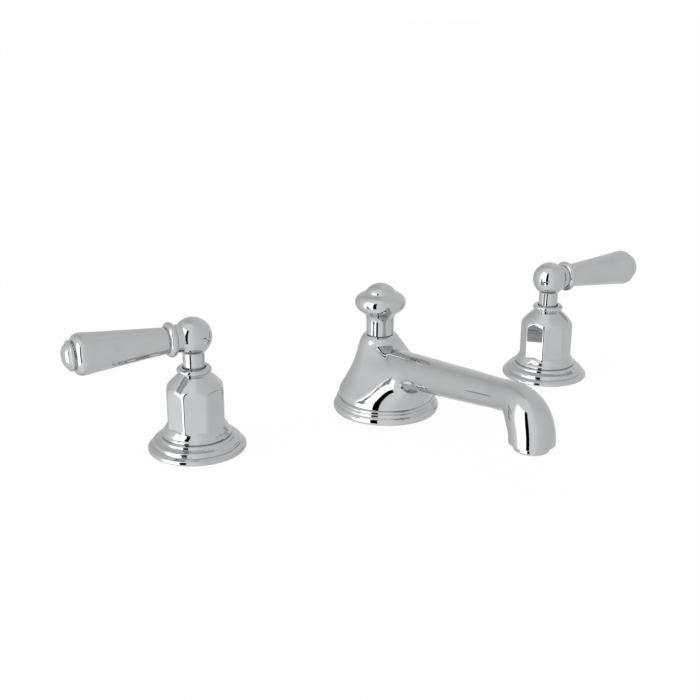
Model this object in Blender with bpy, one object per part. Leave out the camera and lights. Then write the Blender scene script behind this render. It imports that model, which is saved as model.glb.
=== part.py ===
# Widespread bathroom faucet: a low cast spout with a lift knob, and two lever handles
# on eight-sided bonnets, with the valves, seals and nuts that hold them in a deck.
# The origin is on the deck, under the middle of the spout's base ring.
# +X points to the cold handle, -Y to the user and +Z up.

import math

import bmesh
import bpy
from mathutils import Matrix, Vector

# Driving dimensions, in metres

HANDLE_CENTRES = 0.2286
DECK_THICKNESS = 0.030
SEAT_GAP = 0.0003
RUNNING_GAP = 0.0003
CUT_OVERRUN = 0.001

# Handle flange, a stepped ring on the deck
FLANGE_RADIUS = 0.0253
FLANGE_HEIGHT = 0.0080
FLANGE_OUTLINE_SHARES = (
    (0.984, 0.0), (1.0, 0.08), (1.0, 0.26), (0.955, 0.375), (0.935, 0.53),
    (0.885, 0.73), (0.758, 0.775), (0.748, 0.93), (0.725, 1.0),
)

# Gaskets let into the undersides of the flanges and the base ring
GASKET_THICKNESS = 0.0017
GASKET_WIDTH = 0.0075
FLANGE_RIM_WIDTH = 0.0030

# Eight-sided bonnet
BONNET_CLEARANCE = 0.00065
BONNET_WALL = 0.0015
BONNET_CORNER_SHARE = 0.999
BONNET_FOOT_RADIUS = 0.0172
BONNET_DROP = 0.0194
BONNET_MILLED_START = 0.0126
BONNET_SIDES = 8
BONNET_FOOT_SHARES = ((0.968, 0.0), (1.0, 0.10), (1.0, 0.32), (0.950, 0.62))
BONNET_DOME_SHARES = (
    (1.0, 0.0), (0.970, 0.21), (0.935, 0.34), (0.853, 0.55), (0.725, 0.77), (0.627, 0.91),
    (0.536, 1.0),
)
BONNET_DOME_HEIGHT = 0.0095

# Collar on top of the bonnet
COLLAR_RADIUS = 0.0089
COLLAR_HEIGHT = 0.0040
COLLAR_STEP_SHARE = 0.865
BEAD_START_ANGLE = math.radians(-70)
BEAD_END_ANGLE = math.radians(100)
COLLAR_SPIGOT_LENGTH = 0.0020
COLLAR_SPIGOT_RADIUS = 0.0070

# Neck sleeve and ball that carry the lever
NECK_RADIUS = 0.0056
NECK_ENTRY = 0.0022
BALL_RADIUS = 0.00987
BALL_FOOT_DROP = 0.0081
LEVER_HEIGHT = 0.0601

# Lever, its collar and its finial, with distances from the handle's axis
LEVER_COLLAR_RADIUS = 0.0089
LEVER_COLLAR_PLACE = 0.0122
LEVER_COLLAR_THICKNESS = 0.0038
LEVER_COLLAR_NECK_RADIUS = 0.0070
LEVER_START = 0.0144
LEVER_END = 0.0608
LEVER_THIN_RADIUS = 0.0064
LEVER_FAT_RADIUS = 0.0104
LEVER_OUTLINE_SHARES = (
    (0.0, -0.2), (0.02, 0.0), (0.45, 0.45), (0.80, 0.85), (0.87, 0.96),
    (0.905, 1.0), (0.95, 0.93), (0.985, 0.66), (1.0, 0.25),
)
LEVER_STUD_RADIUS = 0.0032
FINIAL_RADIUS = 0.0076
FINIAL_LENGTH = 0.0049
FINIAL_OUTLINE_SHARES = (
    (0.92, 0.0), (1.0, 0.14), (0.98, 0.38), (0.80, 0.48), (0.76, 0.62),
    (0.60, 0.82), (0.34, 0.95), (0.0, 1.0),
)
FINIAL_STUD_RADIUS = 0.0022
FINIAL_STUD_LENGTH = 0.0065

# Valve body, a brass casting that passes through the deck
VALVE_SHANK_RADIUS = 0.0120
VALVE_TOP = 0.0195
VALVE_FLOOR_THICKNESS = 0.0060
VALVE_BORE_RADIUS = 0.0105
VALVE_SEAT_DEPTH = 0.0140
INLET_RADIUS = 0.0103
INLET_LENGTH = 0.0160
RISER_RADIUS = 0.0068
RISER_BORE_RADIUS = 0.0050
PORT_RADIUS = 0.0065
PORT_BORE_RADIUS = 0.0040
PORT_CLEARANCE = 0.0019
PORT_REACH = 0.0220

# Nuts and washers under the deck
RUBBER_WASHER_THICKNESS = 0.0030
STEEL_WASHER_THICKNESS = 0.0015
WASHER_WIDTH = 0.0060
LOCKNUT_HEIGHT = 0.0085
LOCKNUT_WALL = 0.0038
NUT_SIDES = 6

# Ceramic cartridge
CARTRIDGE_HEX_HEIGHT = 0.0055
CARTRIDGE_HEX_FLATS = 0.0205
CARTRIDGE_GLAND_RADIUS = 0.0086
GLAND_HEADROOM = 0.0057
CARTRIDGE_WALL = 0.0023
WINDOW_HEIGHT = 0.0040
WINDOW_WIDTH = 0.0080
DISC_THICKNESS = 0.0033
DISC_PORT_START_SHARE = 0.36
DISC_PORT_END_SHARE = 0.82
DISC_PORT_ANGLE = math.radians(80)
DISC_SLOT_WIDTH = 0.0024
DISC_SLOT_DEPTH = 0.0012
SEAL_THICKNESS = 0.0014
SEAL_WIDTH = 0.0042

# Spindle
SPINDLE_RADIUS = 0.0040
SPINDLE_FLANGE_THICKNESS = 0.0028
SPINDLE_RISE = 0.0034
SPLINE_LENGTH = 0.0135
SPLINE_ROOT_SHARE = 0.88
O_RING_SECTION = 0.0008
O_RING_DROP = 0.0045
PACKING_RADIUS = 0.0060
PACKING_DEPTH = 0.0080

# Grub screw in the back of the ball
GRUB_RADIUS = 0.0017
GRUB_LENGTH = 0.0042
GRUB_KEY_SHARE = 0.55

# Spout base ring
BASE_RADIUS = 0.0296
BASE_HEIGHT = 0.0077
BASE_OUTLINE_SHARES = (
    (0.980, 0.0), (1.0, 0.12), (1.0, 0.42), (0.957, 0.53), (0.953, 0.60),
    (0.940, 0.70), (0.922, 0.765), (0.915, 0.89), (0.868, 1.0),
)

# Spout body: a bell whose axis leans back as it rises
BELL_RADIUS = 0.0264
BELL_TOP = 0.0416
BELL_SETBACK = 0.0072
BELL_OUTLINE_SHARES = (
    (0.962, 0.0), (0.990, 0.022), (1.0, 0.060), (0.947, 0.147), (0.855, 0.245),
    (0.759, 0.353), (0.647, 0.5), (0.560, 0.647), (0.504, 0.765), (0.455, 0.865),
    (0.410, 0.932), (0.356, 0.982), (0.312, 1.0),
)

# Spout arm and nose: the axis rises towards the user, then turns down
REACH = 0.12846
ARM_AXIS_HEIGHT = 0.02514
ARM_SLOPE = 0.1661
ARM_ROOT_RADIUS = 0.01055
ARM_TIP_RADIUS = 0.00745
NOSE_RADIUS = 0.01105
NOSE_END = 0.0262
BEND_RADIUS = 0.01603
ARM_STATION_SHARES = (0.0, 0.16, 0.26, 0.36, 0.48)
NOSE_SWELL_SHARES = ((0.0, 0.0), (0.25, 0.36), (0.5, 0.82), (0.75, 0.96), (1.0, 1.0))
NOSE_EDGE_SHARES = ((1.0, 1.0), (0.985, 0.45), (0.93, 0.10), (0.89, 0.0))
NOSE_EDGE_HEIGHT = 0.0011
CASTING_FILLET = 0.0085
WATERWAY_RADIUS = 0.0042

# Inside the bell
BOSS_WALL = 0.0026
BOSS_DEPTH = 0.0095
RELIEF_WALL = 0.0045
RELIEF_DEPTH = 0.0050

# Spout shank
SHANK_RADIUS = 0.0135
SHANK_FLOOR_THICKNESS = 0.0040
SHANK_BORE_RADIUS = 0.0050
SHANK_BORE_OFFSET = 0.0055
SHANK_PORT_CLEARANCE = 0.0029
SHANK_PORT_REACH = 0.0250

# Aerator
AERATOR_RADIUS = 0.0082
AERATOR_LIP = 0.0025
AERATOR_SKIRT_LENGTH = 0.0065
AERATOR_WALL = 0.0013
INSERT_THICKNESS = 0.0030
INSERT_HOLE_RADIUS = 0.0007
INSERT_HOLE_COUNT = 8
INSERT_HOLE_RING_SHARE = 0.62

# Lift knob and rod
KNOB_RADIUS = 0.01415
KNOB_TOP = 0.0707
KNOB_OUTLINE_SHARES = (
    (0.552, 0.0), (0.552, 0.27), (0.590, 0.34), (0.720, 0.41), (0.900, 0.48),
    (0.985, 0.56), (1.0, 0.64), (0.955, 0.73), (0.820, 0.80), (0.650, 0.832),
    (0.590, 0.838), (0.560, 0.865), (0.430, 0.940), (0.230, 0.985), (0.0, 1.0),
)
ROD_RADIUS = 0.0025
ROD_DEPTH = 0.1100
ROD_ENGAGEMENT = 0.0110

# Facets round a turned piece
BELL_SIDES = 24
LARGE_SIDES = 24
MEDIUM_SIDES = 18
SMALL_SIDES = 16
TINY_SIDES = 10

MERGE_DISTANCE = 1e-7
SHARP_ANGLE = math.radians(32)
QUARTER_TURN = math.radians(90)
FULL_TURN = math.radians(360)

# Sizes that follow from the ones above
CLAMP_DEPTH = (
    DECK_THICKNESS + RUBBER_WASHER_THICKNESS + STEEL_WASHER_THICKNESS + LOCKNUT_HEIGHT + 2 * SEAT_GAP
)
PORT_DEPTH = CLAMP_DEPTH + PORT_CLEARANCE + PORT_RADIUS
VALVE_FLOOR_DEPTH = PORT_DEPTH + PORT_BORE_RADIUS
VALVE_BOTTOM = VALVE_FLOOR_DEPTH + VALVE_FLOOR_THICKNESS
SHANK_PORT_DEPTH = CLAMP_DEPTH + SHANK_PORT_CLEARANCE + PORT_RADIUS
SHANK_BORE_FLOOR = SHANK_PORT_DEPTH + SHANK_BORE_RADIUS
SHANK_BOTTOM = SHANK_BORE_FLOOR + SHANK_FLOOR_THICKNESS
BONNET_BORE = VALVE_SHANK_RADIUS + BONNET_CLEARANCE
BONNET_FLATS = 2 * (BONNET_BORE + BONNET_WALL)
BONNET_CORNER_RADIUS = BONNET_FLATS / 2 / math.cos(math.pi / BONNET_SIDES) * BONNET_CORNER_SHARE
BONNET_TOP = LEVER_HEIGHT - BONNET_DROP
BONNET_DOME_START = BONNET_TOP - BONNET_DOME_HEIGHT
CARTRIDGE_GLAND_TOP = BONNET_TOP - GLAND_HEADROOM
O_RING_HEIGHT = CARTRIDGE_GLAND_TOP - O_RING_DROP
NECK_BOTTOM = BONNET_TOP - NECK_ENTRY
NECK_TOP = LEVER_HEIGHT - BALL_FOOT_DROP
SPINDLE_TOP = LEVER_HEIGHT + SPINDLE_RISE
SPINDLE_SPLINE_START = SPINDLE_TOP - SPLINE_LENGTH
LEVER_STEM_START = SPINDLE_RADIUS + 4 * RUNNING_GAP


# Materials


def finish(name, colour, roughness, metallic):
    surface = bpy.data.materials.new(name)
    surface.use_nodes = True
    shader = surface.node_tree.nodes["Principled BSDF"]
    shader.inputs["Base Color"].default_value = (*colour, 1)
    shader.inputs["Roughness"].default_value = roughness
    shader.inputs["Metallic"].default_value = metallic
    surface.diffuse_color = (*colour, 1)
    return surface


# Building blocks


def new_object(name, mesh_data, surface, place=(0, 0, 0), parent=None):
    """Turn a bmesh into a named object with one material."""
    bmesh.ops.recalc_face_normals(mesh_data, faces=mesh_data.faces)
    mesh = bpy.data.meshes.new(name)
    mesh_data.to_mesh(mesh)
    mesh_data.free()
    mesh.materials.append(surface)
    piece = bpy.data.objects.new(name, mesh)
    bpy.context.collection.objects.link(piece)
    piece.location = place
    piece.parent = parent
    return piece


def new_axis(name, place):
    axis = bpy.data.objects.new(name, None)
    bpy.context.collection.objects.link(axis)
    axis.location = place
    return axis


def turned(name, outline, surface, sides, place=(0, 0, 0), parent=None):
    """Spin a closed outline of (radius, height) points about the piece's own Z axis."""
    mesh_data = bmesh.new()
    points = [mesh_data.verts.new((radius, 0, height)) for radius, height in outline]
    edges = []
    for first, second in zip(points, points[1:] + points[:1]):
        if first.co.x > 0 or second.co.x > 0:
            edges.append(mesh_data.edges.new((first, second)))
    bmesh.ops.spin(
        mesh_data, geom=points + edges, cent=(0, 0, 0), axis=(0, 0, 1),
        angle=FULL_TURN, steps=sides, use_merge=True,
    )
    bmesh.ops.remove_doubles(mesh_data, verts=mesh_data.verts, dist=MERGE_DISTANCE)
    return new_object(name, mesh_data, surface, place, parent)


def tube(name, inner, outer, bottom, top, surface, sides, place=(0, 0, 0), parent=None):
    outline = [(inner, bottom), (outer, bottom), (outer, top), (inner, top)]
    return turned(name, outline, surface, sides, place, parent)


def rod(name, radius, bottom, top, surface, sides, place=(0, 0, 0), parent=None):
    outline = [(0, bottom), (radius, bottom), (radius, top), (0, top)]
    return turned(name, outline, surface, sides, place, parent)


def lofted(name, rings, surface):
    """Skin closed rings of points, with a flat face over the first and the last."""
    mesh_data = bmesh.new()
    loops = [[mesh_data.verts.new(point) for point in ring] for ring in rings]
    for lower, upper in zip(loops, loops[1:]):
        for index in range(len(lower)):
            after = (index + 1) % len(lower)
            mesh_data.faces.new((lower[index], lower[after], upper[after], upper[index]))
    mesh_data.faces.new(loops[0])
    mesh_data.faces.new(loops[-1])
    return new_object(name, mesh_data, surface)


def prism(name, corners, bottom, top, surface, place=(0, 0, 0), parent=None):
    """Raise a flat outline of (x, y) corners from bottom to top."""
    mesh_data = bmesh.new()
    face = mesh_data.faces.new([mesh_data.verts.new((x, y, bottom)) for x, y in corners])
    raised = bmesh.ops.extrude_face_region(mesh_data, geom=[face])
    moved = [item for item in raised["geom"] if isinstance(item, bmesh.types.BMVert)]
    bmesh.ops.translate(mesh_data, verts=moved, vec=(0, 0, top - bottom))
    return new_object(name, mesh_data, surface, place, parent)


def polygon(radius, count, turn=0):
    step = FULL_TURN / count
    return [
        (radius * math.cos(turn + step * index), radius * math.sin(turn + step * index))
        for index in range(count)
    ]


def combine(body, tool, operation="DIFFERENCE", solver="EXACT"):
    """Cut a tool out of a body, or join it on, and take the tool away."""
    step = body.modifiers.new(operation.title(), "BOOLEAN")
    step.operation = operation
    step.solver = solver
    step.object = tool
    bpy.context.view_layer.update()
    solid = bpy.data.meshes.new_from_object(
        body.evaluated_get(bpy.context.evaluated_depsgraph_get())
    )
    body.modifiers.clear()
    body.data = solid
    bpy.data.objects.remove(tool)
    return body


def mill_flats(body, flats, sides, bottom, top, reach):
    """Mill flats on a round piece, from bottom to top, with the corners on the X and Y axes."""
    place = tuple(body.location)
    corner = flats / 2 / math.cos(math.pi / sides)
    cutter = rod("mill", reach, bottom, top, body.data.materials[0], sides, place, body.parent)
    core = prism(
        "core", polygon(corner, sides), bottom - CUT_OVERRUN, top + CUT_OVERRUN,
        body.data.materials[0], place, body.parent,
    )
    return combine(body, combine(cutter, core))


def shared_outline(shares, radius, bottom, height):
    return [(radius * out, bottom + height * up) for out, up in shares]


# Handle trim


def make_flange(side, place, chrome, rubber):
    """Stepped ring on the deck, open round the valve, with a gasket let in below."""
    bore = VALVE_SHANK_RADIUS + SEAT_GAP
    recess_radius = FLANGE_RADIUS - FLANGE_RIM_WIDTH
    recess_height = GASKET_THICKNESS + SEAT_GAP
    outline = [(recess_radius, 0)]
    outline += shared_outline(FLANGE_OUTLINE_SHARES, FLANGE_RADIUS, 0, FLANGE_HEIGHT)
    outline += [(bore, FLANGE_HEIGHT), (bore, recess_height), (recess_radius, recess_height)]
    turned(side + "_flange", outline, chrome, LARGE_SIDES, place)
    gasket_radius = recess_radius - SEAT_GAP
    tube(
        side + "_flange_gasket", gasket_radius - GASKET_WIDTH, gasket_radius,
        0, GASKET_THICKNESS, rubber, SMALL_SIDES, place,
    )


def make_bonnet(side, place, chrome):
    """Turned shroud with a milled octagon between its foot and its dome, open inside."""
    bottom = FLANGE_HEIGHT + SEAT_GAP
    foot_height = BONNET_MILLED_START - bottom
    mouth = COLLAR_SPIGOT_RADIUS + SEAT_GAP
    roof = BONNET_TOP - BONNET_WALL
    outline = [(BONNET_BORE, bottom)]
    outline += shared_outline(BONNET_FOOT_SHARES, BONNET_FOOT_RADIUS, bottom, foot_height)
    outline.append((BONNET_CORNER_RADIUS, BONNET_MILLED_START))
    outline += shared_outline(
        BONNET_DOME_SHARES, BONNET_CORNER_RADIUS, BONNET_DOME_START, BONNET_DOME_HEIGHT
    )
    outline += [(mouth, BONNET_TOP), (mouth, roof)]
    outline += [(BONNET_BORE, BONNET_DOME_START + BONNET_WALL)]
    bonnet = turned(side + "_bonnet", outline, chrome, LARGE_SIDES, place)
    mill_flats(
        bonnet, BONNET_FLATS, BONNET_SIDES, BONNET_MILLED_START,
        BONNET_DOME_START + BONNET_DOME_HEIGHT / 2, BONNET_FOOT_RADIUS + CUT_OVERRUN,
    )


def make_collar(side, place, chrome):
    """Ring on the bonnet's mouth: a small step, then a round bead that the neck runs in."""
    bore = NECK_RADIUS + RUNNING_GAP
    bottom = BONNET_TOP + SEAT_GAP
    bead = COLLAR_HEIGHT / 2
    centre_height = bottom + COLLAR_HEIGHT - bead * COLLAR_STEP_SHARE
    centre_radius = COLLAR_RADIUS - bead * COLLAR_STEP_SHARE
    round_radius = bead * COLLAR_STEP_SHARE
    spigot_end = bottom - COLLAR_SPIGOT_LENGTH
    steps = 5
    outline = [
        (bore, spigot_end), (COLLAR_SPIGOT_RADIUS, spigot_end), (COLLAR_SPIGOT_RADIUS, bottom),
        (COLLAR_RADIUS * COLLAR_STEP_SHARE, bottom),
    ]
    for step in range(steps + 1):
        angle = BEAD_START_ANGLE + (BEAD_END_ANGLE - BEAD_START_ANGLE) * step / steps
        outline.append((
            centre_radius + round_radius * math.cos(angle),
            centre_height + round_radius * math.sin(angle),
        ))
    outline.append((bore, centre_height))
    turned(side + "_bonnet_collar", outline, chrome, SMALL_SIDES, place)


# Handle, which turns with the spindle


def lever_frame(piece, direction):
    """Lay a turned piece along the lever, its own Z pointing away from the handle's axis."""
    piece.rotation_euler = (0, direction * QUARTER_TURN, 0)
    return piece


def make_neck(side, axis, chrome):
    """Sleeve over the spindle, from inside the bonnet's collar up to the ball."""
    tube(
        side + "_neck", SPINDLE_RADIUS + SEAT_GAP, NECK_RADIUS, NECK_BOTTOM, NECK_TOP,
        chrome, SMALL_SIDES, (0, 0, -LEVER_HEIGHT), axis,
    )


def make_ball(side, axis, direction, chrome):
    """Ball with a flat foot, bored for the spindle, the lever's stud and the grub screw."""
    steps = 8
    foot = NECK_TOP + SEAT_GAP - LEVER_HEIGHT
    start = math.asin(foot / BALL_RADIUS)
    outline = [(0, foot)]
    for step in range(steps):
        angle = start + (QUARTER_TURN - start) * step / steps
        outline.append((BALL_RADIUS * math.cos(angle), BALL_RADIUS * math.sin(angle)))
    outline.append((0, BALL_RADIUS))
    ball = turned(side + "_ball", outline, chrome, MEDIUM_SIDES, (0, 0, 0), axis)
    bore_top = SPINDLE_TOP + SEAT_GAP - LEVER_HEIGHT
    combine(ball, rod(
        "bore", SPINDLE_RADIUS + SEAT_GAP, foot - CUT_OVERRUN, bore_top,
        chrome, TINY_SIDES, (0, 0, 0), axis,
    ))
    socket = rod(
        "socket", LEVER_STUD_RADIUS + SEAT_GAP, 0, BALL_RADIUS + CUT_OVERRUN,
        chrome, TINY_SIDES, (0, 0, 0), axis,
    )
    combine(ball, lever_frame(socket, direction))
    screw_hole = rod(
        "screw_hole", GRUB_RADIUS + SEAT_GAP, 0, BALL_RADIUS + CUT_OVERRUN,
        chrome, TINY_SIDES, (0, 0, 0), axis,
    )
    screw_hole.rotation_euler = (-QUARTER_TURN, 0, 0)
    combine(ball, screw_hole)


def make_grub_screw(side, axis, steel):
    """Headless screw that bears on the spindle, with a blind key recess."""
    start = SPINDLE_RADIUS + SEAT_GAP
    end = start + GRUB_LENGTH
    key = GRUB_RADIUS * GRUB_KEY_SHARE
    outline = [(0, start), (GRUB_RADIUS, start), (GRUB_RADIUS, end), (key, end),
               (key, end - GRUB_RADIUS), (0, end - GRUB_RADIUS)]
    screw = turned(side + "_grub_screw", outline, steel, TINY_SIDES, (0, 0, 0), axis)
    screw.rotation_euler = (-QUARTER_TURN, 0, 0)


def make_lever_collar(side, axis, direction, chrome):
    """Ring between ball and lever, with a round edge and a hollow on the ball's side."""
    half = LEVER_COLLAR_THICKNESS / 2
    bore = LEVER_STUD_RADIUS + SEAT_GAP
    steps = 5
    neck = LEVER_COLLAR_NECK_RADIUS
    seat = math.sqrt(BALL_RADIUS ** 2 - neck ** 2) + SEAT_GAP
    inner_seat = math.sqrt(BALL_RADIUS ** 2 - bore ** 2) + SEAT_GAP
    outline = [(bore, inner_seat), (neck, seat)]
    for step in range(steps + 1):
        angle = -QUARTER_TURN + 2 * QUARTER_TURN * step / steps
        outline.append((
            neck + (LEVER_COLLAR_RADIUS - neck) * math.cos(angle),
            LEVER_COLLAR_PLACE + half * math.sin(angle),
        ))
    outline.append((bore, LEVER_COLLAR_PLACE + half))
    lever_frame(turned(
        side + "_lever_collar", outline, chrome, SMALL_SIDES, (0, 0, 0), axis
    ), direction)


def make_lever(side, axis, direction, chrome):
    """Grip that swells away from the ball, with a stud into the ball and a tapped end."""
    length = LEVER_END - LEVER_START
    swell = LEVER_FAT_RADIUS - LEVER_THIN_RADIUS
    socket = FINIAL_STUD_RADIUS + SEAT_GAP
    socket_floor = LEVER_END - FINIAL_STUD_LENGTH - SEAT_GAP
    outline = [(0, LEVER_STEM_START), (LEVER_STUD_RADIUS, LEVER_STEM_START),
               (LEVER_STUD_RADIUS, LEVER_START)]
    for along, out in LEVER_OUTLINE_SHARES:
        outline.append((LEVER_THIN_RADIUS + swell * out, LEVER_START + length * along))
    outline += [(socket, LEVER_END), (socket, socket_floor), (0, socket_floor)]
    lever_frame(turned(side + "_lever", outline, chrome, SMALL_SIDES, (0, 0, 0), axis), direction)


def make_finial(side, axis, direction, chrome):
    """Button screwed into the lever's end."""
    start = LEVER_END + SEAT_GAP
    outline = [(0, LEVER_END - FINIAL_STUD_LENGTH), (FINIAL_STUD_RADIUS, LEVER_END - FINIAL_STUD_LENGTH),
               (FINIAL_STUD_RADIUS, start)]
    outline += shared_outline(FINIAL_OUTLINE_SHARES, FINIAL_RADIUS, start, FINIAL_LENGTH)
    lever_frame(turned(side + "_finial", outline, chrome, SMALL_SIDES, (0, 0, 0), axis), direction)


# Valve in the deck


def make_valve_body(side, place, direction, brass):
    """Shank with a riser inside it: water comes up the riser and leaves by the side port."""
    outline = [
        (RISER_BORE_RADIUS, -VALVE_BOTTOM - INLET_LENGTH), (INLET_RADIUS, -VALVE_BOTTOM - INLET_LENGTH),
        (INLET_RADIUS, -VALVE_BOTTOM), (VALVE_SHANK_RADIUS, -VALVE_BOTTOM),
        (VALVE_SHANK_RADIUS, VALVE_TOP), (VALVE_BORE_RADIUS, VALVE_TOP),
        (VALVE_BORE_RADIUS, -VALVE_FLOOR_DEPTH), (RISER_RADIUS, -VALVE_FLOOR_DEPTH),
        (RISER_RADIUS, -VALVE_SEAT_DEPTH), (RISER_BORE_RADIUS, -VALVE_SEAT_DEPTH),
    ]
    body = turned(side + "_valve_body", outline, brass, SMALL_SIDES, place)
    in_wall = math.sqrt(VALVE_SHANK_RADIUS ** 2 - PORT_RADIUS ** 2) - 2 * SEAT_GAP
    height = (place[0], place[1], -PORT_DEPTH)
    port = lever_frame(rod(
        "port", PORT_RADIUS, in_wall, PORT_REACH, brass, TINY_SIDES, height
    ), -direction)
    combine(body, port, "UNION")
    room = (VALVE_BORE_RADIUS + RISER_RADIUS) / 2
    bore = lever_frame(rod(
        "port_bore", PORT_BORE_RADIUS, room, PORT_REACH + CUT_OVERRUN, brass, TINY_SIDES, height
    ), -direction)
    combine(body, bore)


def make_clamp(side, place, shank_radius, rubber, steel, brass):
    """Rubber washer, steel washer and locknut that pull the shank down on the deck."""
    bore = shank_radius + SEAT_GAP
    rubber_top = -DECK_THICKNESS
    rubber_bottom = rubber_top - RUBBER_WASHER_THICKNESS
    steel_top = rubber_bottom - SEAT_GAP
    steel_bottom = steel_top - STEEL_WASHER_THICKNESS
    nut_top = steel_bottom - SEAT_GAP
    flats = 2 * (bore + LOCKNUT_WALL)
    corner = flats / 2 / math.cos(math.pi / NUT_SIDES)
    tube(
        side + "_rubber_washer", bore, bore + WASHER_WIDTH, rubber_bottom, rubber_top,
        rubber, SMALL_SIDES, place,
    )
    tube(
        side + "_steel_washer", bore, bore + WASHER_WIDTH, steel_bottom, steel_top,
        steel, SMALL_SIDES, place,
    )
    nut = prism(
        side + "_locknut", polygon(corner, NUT_SIDES), nut_top - LOCKNUT_HEIGHT, nut_top,
        brass, place,
    )
    combine(nut, rod(
        "thread", bore, nut_top - LOCKNUT_HEIGHT - CUT_OVERRUN, nut_top + CUT_OVERRUN,
        brass, SMALL_SIDES, place,
    ))


def cartridge_places():
    """Heights of what stacks up in the cartridge, from the seat in the valve body."""
    seal_bottom = -VALVE_SEAT_DEPTH + SEAT_GAP
    bottom = seal_bottom + SEAL_THICKNESS + SEAT_GAP
    fixed = bottom + SEAT_GAP
    moving = fixed + DISC_THICKNESS + SEAT_GAP
    flange = moving + DISC_THICKNESS + SEAT_GAP
    roof = flange + SPINDLE_FLANGE_THICKNESS + RUNNING_GAP
    return {
        "seal": seal_bottom, "bottom": bottom, "fixed": fixed, "moving": moving,
        "flange": flange, "roof": roof,
    }


def make_cartridge(side, place, brass):
    """Brass headwork screwed into the valve body, with windows beside the moving disc."""
    at = cartridge_places()
    outer = VALVE_BORE_RADIUS - SEAT_GAP
    room = outer - CARTRIDGE_WALL
    guide = SPINDLE_RADIUS + RUNNING_GAP
    hex_bottom = VALVE_TOP + SEAT_GAP
    hex_top = hex_bottom + CARTRIDGE_HEX_HEIGHT
    hex_corner = CARTRIDGE_HEX_FLATS / 2 / math.cos(math.pi / NUT_SIDES)
    packing = CARTRIDGE_GLAND_TOP - PACKING_DEPTH
    outline = [
        (room, at["bottom"]), (outer, at["bottom"]), (outer, hex_bottom),
        (hex_corner, hex_bottom), (hex_corner, hex_top), (CARTRIDGE_GLAND_RADIUS, hex_top),
        (CARTRIDGE_GLAND_RADIUS, CARTRIDGE_GLAND_TOP), (PACKING_RADIUS, CARTRIDGE_GLAND_TOP),
        (PACKING_RADIUS, packing), (guide, packing), (guide, at["roof"]), (room, at["roof"]),
    ]
    cartridge = turned(side + "_cartridge", outline, brass, SMALL_SIDES, place)
    half = WINDOW_WIDTH / 2
    reach = VALVE_BORE_RADIUS + CUT_OVERRUN
    corners = [(-reach, -half), (reach, -half), (reach, half), (-reach, half)]
    window_bottom = at["moving"] - SEAT_GAP
    combine(cartridge, prism(
        "windows", corners, window_bottom, window_bottom + WINDOW_HEIGHT, brass, place
    ))


def sector(inner, outer, middle, width, steps):
    """Corners of a piece of a ring, as a port in a ceramic disc."""
    corners = []
    for radius, first, last in ((outer, -width / 2, width / 2), (inner, width / 2, -width / 2)):
        for step in range(steps + 1):
            angle = middle + first + (last - first) * step / steps
            corners.append((radius * math.cos(angle), radius * math.sin(angle)))
    return corners


def make_disc(name, bottom, first_port, ceramic, place, parent=None):
    """Ceramic disc with two ports across from each other."""
    radius = VALVE_BORE_RADIUS - SEAT_GAP - CARTRIDGE_WALL - RUNNING_GAP
    disc = rod(name, radius, bottom, bottom + DISC_THICKNESS, ceramic, SMALL_SIDES, place, parent)
    for turn in (0, math.pi):
        corners = sector(
            radius * DISC_PORT_START_SHARE, radius * DISC_PORT_END_SHARE,
            first_port + turn, DISC_PORT_ANGLE, 2,
        )
        combine(disc, prism(
            "port", corners, bottom - CUT_OVERRUN, bottom + DISC_THICKNESS + CUT_OVERRUN,
            ceramic, place, parent,
        ))
    return disc


def make_discs(side, place, axis, ceramic, rubber):
    """Fixed disc, moving disc with a slot for the spindle, and the seal on the riser."""
    at = cartridge_places()
    below = (0, 0, -LEVER_HEIGHT)
    make_disc(side + "_fixed_disc", at["fixed"], 0, ceramic, place)
    moving = make_disc(side + "_moving_disc", at["moving"], QUARTER_TURN, ceramic, below, axis)
    reach = VALVE_BORE_RADIUS
    half = DISC_SLOT_WIDTH / 2
    corners = [(-reach, -half), (reach, -half), (reach, half), (-reach, half)]
    top = at["moving"] + DISC_THICKNESS
    combine(moving, prism(
        "slot", corners, top - DISC_SLOT_DEPTH, top + CUT_OVERRUN, ceramic, below, axis
    ))
    tube(
        side + "_seat_seal", RISER_BORE_RADIUS, RISER_BORE_RADIUS + SEAL_WIDTH,
        at["seal"], at["seal"] + SEAL_THICKNESS, rubber, SMALL_SIDES, place,
    )


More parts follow.
